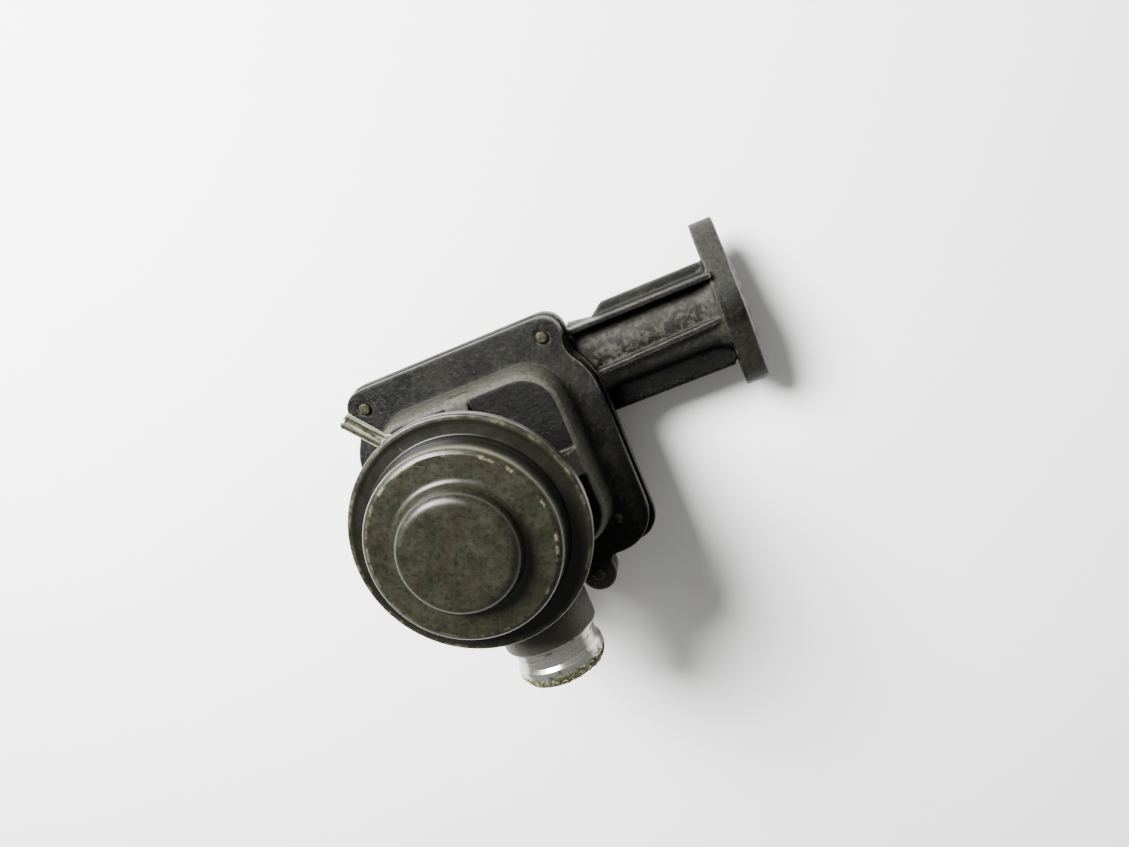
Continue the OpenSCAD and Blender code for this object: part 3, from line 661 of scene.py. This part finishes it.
def fabric_rubber(colours):
    """Rubber moulded over a fine woven fabric that shows through."""
    f = Finish("Fabric rubber", 0.0, 0.35)
    threads = []
    for direction in "XY":
        wave = f.node("TexWave", bands_direction=direction)
        wave.inputs["Scale"].default_value = 420
        f.put(wave.inputs["Vector"], f.place)
        threads.append(wave.outputs["Fac"])
    weave = f.times(*threads)
    dust = f.noise(3, 5, 0.6)
    colour = f.blend(f.step(weave, 0.2, 0.9), (0.010, 0.010, 0.011), (0.028, 0.028, 0.027))
    colour = f.blend(f.step(dust, 0.52, 0.72, 0.0, 0.5), colour, (0.075, 0.07, 0.06))
    return f.done(colour, f.step(dust, 0.3, 0.7, 0.55, 0.75), weave, 0.06, 0.4)


def seal_rubber(colours):
    f = Finish("Seal rubber", 0.0, 0.4)
    bloom = f.noise(1.8, 5, 0.6)
    colour = f.blend(f.step(bloom, 0.4, 0.7), (0.011, 0.011, 0.012), (0.045, 0.044, 0.042))
    return f.done(colour, f.step(bloom, 0.3, 0.7, 0.48, 0.66), f.noise(0.3, 3), 0.02, 0.3)


def pressed_fibre(colours):
    f = Finish("Pressed fibre", 0.0, 0.3)
    fibre = f.noise(0.5, 5, 0.7, f.centred((0, 0, 0), (0, 0, 30), (1, 0.3, 1)))
    oil = f.noise(6, 4)
    colour = f.blend(f.step(fibre, 0.35, 0.65), (0.016, 0.016, 0.015), (0.06, 0.058, 0.052))
    colour = f.blend(f.step(oil, 0.5, 0.7, 0.0, 0.6), colour, (0.012, 0.011, 0.009))
    return f.done(colour, f.step(oil, 0.3, 0.7, 0.85, 0.6), fibre, 0.05, 0.5)


def milled_plate(colours):
    f = Finish("Milled plate", 0.95)
    lines = f.noise(0.3, 2, 0.5, f.centred((0, 0, 0), (0, 0, 12), (0.03, 1, 1)))
    soot = f.noise(5, 5, 0.62)
    colour = f.blend(f.step(lines, 0.3, 0.7), (0.40, 0.40, 0.39), (0.56, 0.56, 0.55))
    colour = f.blend(f.step(soot, 0.42, 0.7, 0.0, 0.75), colour, (0.09, 0.08, 0.065))
    return f.done(colour, f.step(soot, 0.3, 0.7, 0.30, 0.55), lines, 0.02, 0.4)


def studio_floor(colours):
    f = Finish("Pale floor", 0.0, 0.2)
    tone = f.noise(220, 3)
    colour = f.blend(f.step(tone, 0.3, 0.7), (0.90, 0.895, 0.885), (0.93, 0.925, 0.915))
    return f.done(colour, 0.85, f.noise(0.6, 3), 0.02, 0.15)


MIXES = {
    "capsule": passivated_sheet,
    "casting": stained_casting_painted_light,
    "turned": turned_alloy,
    "crust": mineral_crust,
    "tube": plated_tube,
    "screw": yellow_zinc,
    "zinc": white_zinc,
    "steel": ground_steel,
    "spring": drawn_spring_steel,
    "bronze": sintered_bronze,
    "diaphragm": fabric_rubber,
    "rubber": seal_rubber,
    "gasket": pressed_fibre,
    "plate": milled_plate,
    "floor": studio_floor,
}


# ---- Settings ----


COLOUR = {"subtype": "COLOR", "size": 3, "min": 0, "max": 1}
LENGTH = {"subtype": "DISTANCE", "unit": "LENGTH"}


class FinishSettings(PropertyGroup):
    film: FloatVectorProperty(
        name="Olive film", description="Passivated film of the capsule",
        default=(0.0118, 0.0124, 0.0072), **COLOUR)
    bloom: FloatVectorProperty(
        name="Brown bloom", description="Brown mottling of the film",
        default=(0.0098, 0.0074, 0.0036), **COLOUR)
    bare_steel: FloatVectorProperty(
        name="Bare steel", description="Steel where the film has worn off",
        default=(0.095, 0.092, 0.056), **COLOUR)
    casting: FloatVectorProperty(
        name="Casting", description="Cleaner patches of the castings",
        default=(0.0074, 0.0074, 0.0058), **COLOUR)
    stain: FloatVectorProperty(
        name="Stain", description="Oil-dark patches of the castings",
        default=(0.0019, 0.0019, 0.0015), **COLOUR)
    # The rubbed edges' colour is partly a painted highlight along the edges
    rubbed: FloatVectorProperty(
        name="Rubbed edges", description="Castings where edges have rubbed",
        default=(0.085, 0.083, 0.070), **COLOUR)
    crust: FloatVectorProperty(
        name="Crust", description="Mineral crust at the stub's mouth",
        default=(0.085, 0.080, 0.024), **COLOUR)
    screw: FloatVectorProperty(
        name="Screw plating", description="Yellow zinc of the cover screws",
        default=(0.060, 0.057, 0.036), **COLOUR)


class CapsuleSettings(PropertyGroup):
    rim: FloatProperty(
        name="Rim radius", description="Outer radius of the rolled rim",
        default=(SHELL_HIGH.x - SHELL_LOW.x) / 2, **LENGTH)
    sheet: FloatProperty(
        name="Sheet", description="Thickness of the pressed sheet", default=1.0 * MM, **LENGTH)
    segments: IntProperty(
        name="Segments", description="Steps around each pressing", default=192, min=48, max=256)


class CastingSettings(PropertyGroup):
    grain: FloatProperty(
        name="Grain", description="Size of the cells that the castings are fused from",
        default=0.45 * MM, **LENGTH)
    passes: IntProperty(
        name="Edge passes", description="How far the mould's edges are rounded",
        default=6, min=0, max=20)
    keep: FloatProperty(
        name="Detail", description="Share of the faces kept", subtype="FACTOR",
        default=0.45, min=0.1, max=1)


class SpringSettings(PropertyGroup):
    radius: FloatProperty(
        name="Coil radius", description="Radius to the middle of the wire", default=12.2 * MM, **LENGTH)
    wire: FloatProperty(
        name="Wire radius", description="Radius of the wire", default=0.7 * MM, **LENGTH)
    turns: FloatProperty(
        name="Turns", description="Number of turns with both ends", default=4.5, min=2, max=12)


class CrustSettings(PropertyGroup):
    grains: FloatProperty(
        name="Grain size", description="Size of the larger grains", default=0.48 * MM, **LENGTH)
    density: FloatProperty(name="Density", description="Grains per square metre", default=2.6e6, min=0)
    seed: IntProperty(name="Seed", description="Fixed seed of the scatter", default=7)


class StudioSettings(PropertyGroup):
    lens: FloatProperty(
        name="Lens", description="Focal length in millimetres", default=27.1, min=10, max=200)
    key: FloatProperty(
        name="Key light", description="Power of the key light", unit="POWER", default=34.0)
    fill: FloatProperty(
        name="Fill light", description="Power of the fill light", unit="POWER", default=1.2)
    sky: FloatProperty(name="Sky", description="Strength of the even light all round", default=0.34)


# ---- Pieces ----


class VALVE_OT_capsule(Operator):
    """Pressed shells of the vacuum capsule, with their rolled rim"""

    bl_idname = "valve.capsule"
    bl_label = "Capsule shells"

    def execute(self, context):
        s = context.scene.valve_capsule
        rim, t = s.rim / MM, s.sheet / MM
        upper = rounded([
            (0, 14.75, 0), (9, 14.8, 6), (15.9, 14.6, 3.3), (17.0, 8.35, 2.4), (24.7, 8.4, 0.8),
            (26.2, 7.5, 1.7), (27.05, 0.0, 1.0), (rim - 2.6, -0.12, 2.0), (rim - 1.5, 0.08, 0.8),
            (rim, -0.1, 1.1), (rim, -HEM_H, 1.2), (rim - 3.6, -HEM_H, 0.4),
            (rim - 3.6, -HEM_H + t, 0.4), (rim - 1.2, -HEM_H + t, 0.4), (rim - 1.2, -t, 0.4),
            (27.9, -t, 1.8), (25.1, 6.5, 1.2), (24.2, 8.4 - t, 0.5), (15.6, 8.4 - t, 2.4),
            (15.2, 14.8 - t, 2.3), (0, 14.8 - t, 0),
        ], 7)
        piece = make_piece("capsule_cover_pressing", turned(upper, upright(), s.segments))
        finish_piece(piece, "capsule", "housing", ["capsule_upper_shell"])
        lower = rounded([
            (8.1, -14, 0.3), (24.5, -14, 2.4), (24.5, -3.0, 0.9), (rim - 1.3, -3.0, 0.3),
            (rim - 1.3, -2.0, 0.3), (23.5, -2.0, 1.2), (23.5, -13, 1.6), (8.1, -13, 0.3),
        ])
        piece = make_piece("capsule_base_pressing", turned(lower, upright(), s.segments // 2))
        finish_piece(piece, "capsule", "housing", ["capsule_lower_shell"])
        return {"FINISHED"}


class VALVE_OT_nipple(Operator):
    """Vacuum nipple: a plated tube with a collar and a rounded tip"""

    bl_idname = "valve.nipple"
    bl_label = "Vacuum nipple"

    def execute(self, context):
        turn = math.radians(NIPPLE_TURN)
        along = Vector((math.cos(turn), math.sin(turn), 0))
        foot = at(NIPPLE_OFFSET * math.sin(turn), -NIPPLE_OFFSET * math.cos(turn), NIPPLE_Z)
        place = Matrix.Translation(foot) @ along.to_track_quat("Z", "Y").to_matrix().to_4x4()
        tube = rounded([
            (1.4, 21.6, 0), (3.4, 21.6, 0.6), (2.6, 23.6, 0.8), (2.6, 31.5, 0.5), (2.15, 31.9, 0.4),
            (2.15, 42.6, 0.6), (2.3, 43.2, 0.4), (2.15, 44.0, 0.4), (1.45, 44.0, 0.3),
        ], 4)
        piece = make_piece("vacuum_tube", turned(tube, place, 64), 50)
        finish_piece(piece, "tube", "housing", ["vacuum_nipple"])
        return {"FINISHED"}


class VALVE_OT_diaphragm(Operator):
    """Rolling rubber diaphragm with its bead and fold"""

    bl_idname = "valve.diaphragm"
    bl_label = "Diaphragm"

    def execute(self, context):
        section = rounded([
            (3.0, 2.6, 0), (15.5, 2.6, 1.5), (20.2, 1.0, 2.5), (25.1, -1.0, 2.5), (31.7, -1.0, 0.3),
            (31.7, -2.0, 0.3), (24.7, -2.0, 2.5), (19.7, 0.0, 2.5), (15.1, 1.6, 1.5), (3.0, 1.6, 0),
        ], 6)
        piece = make_piece("rolling_diaphragm", turned(section, upright(), 144))
        piece.data.materials.append(finish_of("diaphragm"))
        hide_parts("diaphragm")
        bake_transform(piece)
        return {"FINISHED"}


class VALVE_OT_spring(Operator):
    """Return spring with closed end turns"""

    bl_idname = "valve.spring"
    bl_label = "Return spring"

    def execute(self, context):
        s = context.scene.valve_spring
        low = SPRING_LOW * MM + s.wire
        high = SPRING_HIGH * MM - s.wire
        # Share of the wire in each flat end turn
        closed = 0.75 / s.turns
        nodes = NodeTree("Coil spring", dict.fromkeys(("Radius", "Wire", "Turns", "Rise"), "Float"))
        coil = nodes.add("GeometryNodeCurveSpiral", {
            "Resolution": 72, "Rotations": nodes.entry("Turns"), "Start Radius": nodes.entry("Radius"),
            "End Radius": nodes.entry("Radius"), "Height": 0.0,
        })
        share = nodes.add("GeometryNodeSplineParameter")
        lift = nodes.add("ShaderNodeMapRange", {
            "Value": share.outputs["Factor"], "From Min": closed, "From Max": 1 - closed,
            "To Min": 0.0, "To Max": nodes.entry("Rise"),
        })
        raised = nodes.add("ShaderNodeCombineXYZ", {"Z": lift})
        placed = nodes.add("GeometryNodeSetPosition", {
            "Geometry": coil, "Offset": raised,
        })
        wire = nodes.add("GeometryNodeCurvePrimitiveCircle", {
            "Resolution": 16, "Radius": nodes.entry("Wire"),
        })
        swept = nodes.add("GeometryNodeCurveToMesh", {
            "Curve": placed, "Profile Curve": wire, "Fill Caps": True,
        })
        moved = nodes.add("GeometryNodeTransform", {
            "Geometry": swept, "Translation": tuple(AXIS + Vector((0, 0, low))),
        })
        nodes.close(moved, finish_of("spring"))
        piece = grown("return_coil", point_mesh("coil", [(0, 0, 0)]), nodes, {
            "Radius": s.radius, "Wire": s.wire, "Turns": s.turns, "Rise": high - low,
        })
        soften(piece, 60)
        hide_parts("return_spring")
        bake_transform(piece)
        return {"FINISHED"}


def cad_copy(node):
    """Merged bmesh of a CAD node, which is itself left alone."""
    bm = bmesh.new()
    bm.from_mesh(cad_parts[node].data)
    bmesh.ops.remove_doubles(bm, verts=bm.verts, dist=2e-6)
    return bm


def cut_off(bm, point, along):
    """Cuts away what lies beyond a plane and closes the section."""
    everything = bm.verts[:] + bm.edges[:] + bm.faces[:]
    bmesh.ops.bisect_plane(bm, geom=everything, plane_co=point, plane_no=along, clear_outer=True)
    open_edges = [e for e in bm.edges if e.is_boundary]
    bmesh.ops.triangle_fill(bm, use_beauty=True, edges=open_edges, normal=along)
    bmesh.ops.recalc_face_normals(bm, faces=bm.faces)


def cast(name, parts, settings):
    """Fuses overlapping solids into one casting and rounds every edge as a mould does."""
    piece = make_piece(name + "_pattern", merged(parts), 180)
    fuse = piece.modifiers.new("Fuse", "REMESH")
    fuse.mode = "VOXEL"
    fuse.voxel_size = settings.grain
    ease = piece.modifiers.new("Ease", "SMOOTH")
    ease.factor = 0.5
    ease.iterations = settings.passes
    thin = piece.modifiers.new("Thin", "DECIMATE")
    thin.ratio = settings.keep
    result = baked(piece, name)
    soften(result, 180)
    return result


class VALVE_OT_castings(Operator):
    """Inlet cover and outlet housing, with the soft edges of die castings"""

    bl_idname = "valve.castings"
    bl_label = "Castings"

    def execute(self, context):
        s = context.scene.valve_casting
        cover = cad_copy("inlet_cover")
        cut_off(cover, at(0, STUB_CUT_Y, 0), Vector((0, -1, 0)))
        skirt = turned([(14.3, 20), (17.0, 20), (15.0, 27.5), (14.3, 27.5)], stub_place(), 96)
        piece = cast("inlet_cover_casting", [cover, skirt], s)
        finish_piece(piece, "casting", "housing", ["inlet_cover"])
        housing = cad_copy("outlet_housing")
        collar = turned([(10, 76.5), (12, 76.5), (12.6, 79), (14.6, 82.6), (10, 82.6)], arm_place(), 96)
        root = turned([(10, 36), (13.2, 36), (12.0, 44), (10, 44)], arm_place(), 96)
        piece = cast("outlet_housing_casting", [housing, collar, root], s)
        finish_piece(piece, "casting", "housing", ["outlet_housing"])
        return {"FINISHED"}


class VALVE_OT_stub_end(Operator):
    """Machined neck, bead and lip of the hose stub"""

    bl_idname = "valve.stub_end"
    bl_label = "Stub end"

    def execute(self, context):
        section = rounded([
            (10.4, 45.2, 0), (14.2, 45.2, 0.3), (14.2, 46.2, 0.3), (12.9, 46.6, 0.4), (12.9, 51.3, 0.5),
            (13.8, 52.6, 0.7), (13.8, 55.0, 0.9), (12.5, 57.4, 0.6), (12.3, 58.0, 0.3),
            (10.9, 58.0, 0.5), (10.4, 57.0, 0.4),
        ], 5)
        piece = make_piece("stub_machined_end", turned(section, stub_place(), 160))
        finish_piece(piece, "turned", "housing", ["inlet_cover"])
        return {"FINISHED"}


class VALVE_OT_crust(Operator):
    """Mineral crust left round the mouth of the hose stub"""

    bl_idname = "valve.crust"
    bl_label = "Crust at the mouth"

    def execute(self, context):
        s = context.scene.valve_crust
        band = turned([
            (13.0, 54.9), (13.8, 54.8), (13.2, 56.2), (12.5, 57.4), (12.2, 57.95), (11.0, 57.95),
            (10.6, 57.2),
        ], stub_place(), 96)
        mesh = mesh_from("mouth_band", band)
        nodes = NodeTree("Crust", {"Size": "Float", "Density": "Float", "Seed": "Int"})
        clump = nodes.add("ShaderNodeTexNoise", {"Scale": 300.0, "Detail": 3.0})
        share = nodes.add("ShaderNodeMapRange", {
            "Value": clump.outputs["Fac"], "From Min": 0.44, "From Max": 0.60,
        })
        amount = nodes.add(
            "ShaderNodeMath", {0: share, 1: nodes.entry("Density")}, operation="MULTIPLY")
        spots = nodes.add("GeometryNodeDistributePointsOnFaces", {
            "Mesh": nodes.entry("Geometry"), "Density": amount, "Seed": nodes.entry("Seed"),
        })
        grain = nodes.add("GeometryNodeMeshIcoSphere", {
            "Radius": nodes.entry("Size"), "Subdivisions": 1,
        })
        draws = []
        for least, most in (((0.35, 0.35, 0.35), (1.1, 1.1, 1.0)), ((0, 0, 0), (6.28, 6.28, 6.28))):
            draw = nodes.add(
                "FunctionNodeRandomValue", {"Seed": nodes.entry("Seed")}, data_type="FLOAT_VECTOR")
            draw.inputs["Min"].default_value = least
            draw.inputs["Max"].default_value = most
            draws.append(draw.outputs["Value"])
        scale, spin = draws
        spread = nodes.add("GeometryNodeInstanceOnPoints", {
            "Points": spots.outputs["Points"], "Instance": grain.outputs["Mesh"],
            "Rotation": spin, "Scale": scale,
        })
        nodes.close(spread, finish_of("crust"))
        values = {"Size": s.grains, "Density": s.density, "Seed": s.seed}
        piece = grown("mouth_crust", mesh, nodes, values)
        soften(piece, 180)
        finish_piece(piece, "crust", "housing", [])
        return {"FINISHED"}


def screw_pattern(head_low, head_high, head_r, tip, shank_r, pitch, socket_r):
    """Cap screw along Z in mm, head down: plain head with a socket, shank and ring threads."""
    outline = [
        (0, head_low + 2.2, 0), (socket_r, head_low + 2.2, 0), (socket_r + 0.1, head_low, 0.15),
        (head_r, head_low, 0.5), (head_r, head_high, 0.2), (shank_r, head_high, 0.1),
    ]
    z = head_high + 1.2
    while z + pitch < tip - 0.5:
        outline += [(shank_r - 0.02, z, 0), (shank_r - 0.3, z + pitch * 0.5, 0)]
        z += pitch
    outline += [
        (shank_r, z, 0), (shank_r - 0.05, tip - 0.45, 0.1), (shank_r - 0.5, tip, 0.12), (0, tip, 0),
    ]
    return rounded(outline, 3)


class VALVE_OT_screws(Operator):
    """Cover screws with their spring washers"""

    bl_idname = "valve.screws"
    bl_label = "Screws and washers"

    def execute(self, context):
        base = AXIS.z / MM
        cap = screw_pattern(base + SCREW_LOW, base + SCREW_SEAT, 4.1, base + SCREW_TIP, 2.0, 0.7, 1.9)
        pattern = make_piece("cap_screw", turned(cap, Matrix.Identity(4), 40))
        spots = [Vector((AXIS.x + x * MM, AXIS.y + y * MM, 0)) for x, y in SCREW_SPOTS]
        piece = repeated("cover_cap_screws", pattern, spots, finish_of("screw"))
        finish_piece(piece, "screw", "housing", ["cover_screws"])
        pattern = make_piece("split_ring", self.split_washer(base + SCREW_SEAT, base + WASHER_TOP))
        piece = repeated("cover_split_washers", pattern, spots, finish_of("zinc"))
        finish_piece(piece, "zinc", "housing", ["cover_washers"])
        return {"FINISHED"}

    def split_washer(self, low, high):
        """Spring washer: a ring with a slanted cut."""
        bm = bmesh.new()
        steps = 56
        gap = 0.045
        corners = (
            (2.25, low, 0), (4.5, low, 0), (4.6, low + 0.1, 0),
            (4.6, high - 0.12, 1), (4.5, high - 0.06, 1), (2.25, high - 0.06, 1))
        rings = []
        for k in range(steps + 1):
            share = gap + (1 - 2 * gap) * k / steps
            a = 2 * math.pi * share
            lean = 0.12 * (share - 0.5)
            rings.append([
                bm.verts.new((r * math.cos(a) * MM, r * math.sin(a) * MM, (z + lean * w) * MM))
                for r, z, w in corners
            ])
        for here, there in zip(rings, rings[1:]):
            for i in range(6):
                n = (i + 1) % 6
                bm.faces.new((here[i], here[n], there[n], there[i]))
        bm.faces.new(rings[0])
        bm.faces.new(rings[-1][::-1])
        bmesh.ops.recalc_face_normals(bm, faces=bm.faces)
        return bm


class VALVE_OT_reeds(Operator):
    """Flat spring-steel reeds with rounded free ends"""

    bl_idname = "valve.reeds"
    bl_label = "Reeds"

    def execute(self, context):
        top = REED_Z - 0.05
        for number, (sx, sy) in enumerate([(1, 1), (-1, 1), (1, -1), (-1, -1)], 1):
            root = REED_MIDDLE + sy * 0.3
            end = REED_MIDDLE + sy * 20.2
            nodes = NodeTree(f"Reed {number}", {
                "Width": "Float", "Length": "Float", "Thickness": "Float", "Middle": "Vector",
            })
            sheet = nodes.add("GeometryNodeMeshGrid", {
                "Size X": nodes.entry("Width"), "Size Y": nodes.entry("Length"),
                "Vertices X": 13, "Vertices Y": 33,
            })
            thick = nodes.add("GeometryNodeExtrudeMesh", {
                "Mesh": sheet.outputs["Mesh"], "Offset Scale": nodes.entry("Thickness"),
                "Individual": False,
            })
            flipped = nodes.add("GeometryNodeFlipFaces", {"Mesh": sheet.outputs["Mesh"]})
            whole = nodes.add("GeometryNodeJoinGeometry")
            nodes.tree.links.new(flipped.outputs[0], whole.inputs[0])
            nodes.tree.links.new(thick.outputs["Mesh"], whole.inputs[0])
            sealed = nodes.add("GeometryNodeMergeByDistance", {
                "Geometry": whole, "Distance": 1e-6,
            })
            moved = nodes.add("GeometryNodeTransform", {
                "Geometry": sealed, "Translation": nodes.entry("Middle"),
            })
            nodes.close(moved, finish_of("spring"))
            middle = at(sx * REED_SIDE, (root + end) / 2, top - REED_SHEET)
            piece = grown(f"reed_leaf_{number}", point_mesh("leaf", [(0, 0, 0)]), nodes, {
                "Width": REED_WIDTH * MM, "Length": abs(end - root) * MM,
                "Thickness": REED_SHEET * MM, "Middle": tuple(middle),
            })
            self.round_tip(piece, sx * REED_SIDE, end, sy)
            soften(piece, 40)
            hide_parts(f"reed_petal_{number}")
            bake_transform(piece)
        return {"FINISHED"}

    def round_tip(self, piece, middle_x, end_y, sy, corner=3.0):
        """Pulls the free end's corners in to a round."""
        full = REED_WIDTH / 2
        for vert in piece.data.vertices:
            x = (vert.co.x - AXIS.x) / MM - middle_x
            depth = (end_y - (vert.co.y - AXIS.y) / MM) * sy
            if depth < corner:
                half = full - corner + math.sqrt(max(corner ** 2 - (corner - depth) ** 2, 0.0))
                vert.co.x = AXIS.x + (middle_x + x * half / full) * MM


NODE_FINISHES = {
    "zinc": "diaphragm_upper_plate diaphragm_lower_plate stem_nut seal_retainer capsule_screws"
            " reed_plate_screws cover_washers",
    "steel": "valve_stem valve_disc reed_stop_plate reed_rivets",
    "rubber": "stem_seal disc_seal",
    "bronze": "guide_bush valve_seat_ring",
    "spring": "disc_clip return_spring reed_petal_1 reed_petal_2 reed_petal_3 reed_petal_4",
    "gasket": "capsule_gasket cover_gasket",
    "plate": "reed_plate",
    "capsule": "capsule_upper_shell capsule_lower_shell",
    "tube": "vacuum_nipple",
    "diaphragm": "diaphragm",
    "casting": "inlet_cover outlet_housing",
    "screw": "cover_screws",
}


class VALVE_OT_inner_parts(Operator):
    """Finishes of the stem, plates, seals, bush, seat, gaskets, reed plate and rivets"""

    bl_idname = "valve.inner_parts"
    bl_label = "Inner parts"

    def execute(self, context):
        for finish, nodes in NODE_FINISHES.items():
            for node in nodes.split():
                finish_node(node, finish)
        return {"FINISHED"}


class VALVE_OT_stage(Operator):
    """Pale floor, camera and soft studio light"""

    bl_idname = "valve.stage"
    bl_label = "Stage"

    def execute(self, context):
        s = context.scene.valve_studio
        floor_z = CAD_BOX[0].z - 0.0002
        bm = bmesh.new()
        bmesh.ops.create_grid(bm, x_segments=8, y_segments=8, size=1.6)
        bm.transform(Matrix.Translation((AXIS.x, AXIS.y, floor_z)))
        floor = make_piece("studio_floor", bm)
        floor.data.materials.append(finish_of("floor"))
        self.camera(context, s.lens)
        self.light("key", at(-220, 440, 430), 0.36, s.key)
        self.light("fill", at(-470, 300, 390), 0.24, s.fill)
        world = bpy.data.worlds.new("Studio")
        world.use_nodes = True
        world.node_tree.nodes["Background"].inputs["Color"].default_value = (1.0, 0.995, 0.98, 1)
        world.node_tree.nodes["Background"].inputs["Strength"].default_value = s.sky
        context.scene.world = world
        return {"FINISHED"}

    def camera(self, context, lens):
        data = bpy.data.cameras.new("camera")
        data.lens = lens
        data.sensor_width = 36
        data.clip_start = 0.01
        camera = placed_object("camera", data)
        right = Vector((0.9155, -0.3858, -0.1141)).normalized()
        ahead = Vector((-0.1962, -0.1805, -0.9638)).normalized()
        up = right.cross(ahead)
        turn = Matrix((right, up, -ahead)).transposed().to_4x4()
        camera.matrix_world = Matrix.Translation(at(77.3, 57.2, 205.0)) @ turn
        context.scene.camera = camera

    def light(self, name, place, size, power):
        """Round lamp aimed at the middle of the valve."""
        data = bpy.data.lights.new(name, "AREA")
        data.shape = "DISK"
        data.size = size
        data.energy = power
        lamp = placed_object(name, data)
        aim = (at(5, 5, -40) - place).to_track_quat("-Z", "Y").to_matrix().to_4x4()
        lamp.matrix_world = Matrix.Translation(place) @ aim


BUILD_ORDER = [
    "inner_parts", "capsule", "nipple", "diaphragm", "spring", "castings", "stub_end", "crust",
    "screws", "reeds", "stage",
]


class VALVE_PT_panel(Panel):
    """Steps of the valve in the sidebar"""

    bl_idname = "VALVE_PT_panel"
    bl_label = "Secondary Air Valve"
    bl_space_type = "VIEW_3D"
    bl_region_type = "UI"
    bl_category = "Air Valve"

    def draw(self, context):
        for step in BUILD_ORDER:
            self.layout.operator("valve." + step)
        for name in SETTINGS:
            group = getattr(context.scene, name)
            box = self.layout.box()
            for key in group.__annotations__:
                box.prop(group, key)


SETTINGS = {
    "valve_finishes": FinishSettings,
    "valve_capsule": CapsuleSettings,
    "valve_casting": CastingSettings,
    "valve_spring": SpringSettings,
    "valve_crust": CrustSettings,
    "valve_studio": StudioSettings,
}
CLASSES = [
    *SETTINGS.values(), VALVE_OT_capsule, VALVE_OT_nipple, VALVE_OT_diaphragm, VALVE_OT_spring,
    VALVE_OT_castings, VALVE_OT_stub_end, VALVE_OT_crust, VALVE_OT_screws, VALVE_OT_reeds,
    VALVE_OT_inner_parts, VALVE_OT_stage, VALVE_PT_panel,
]


def register():
    for cls in CLASSES:
        bpy.utils.register_class(cls)
    for name, group in SETTINGS.items():
        setattr(bpy.types.Scene, name, PointerProperty(type=group))


def unregister():
    for name in SETTINGS:
        delattr(bpy.types.Scene, name)
    for cls in reversed(CLASSES):
        bpy.utils.unregister_class(cls)


def main():
    register()
    for step in BUILD_ORDER:
        getattr(bpy.ops.valve, step)()


if __name__ == "__main__":
    main()
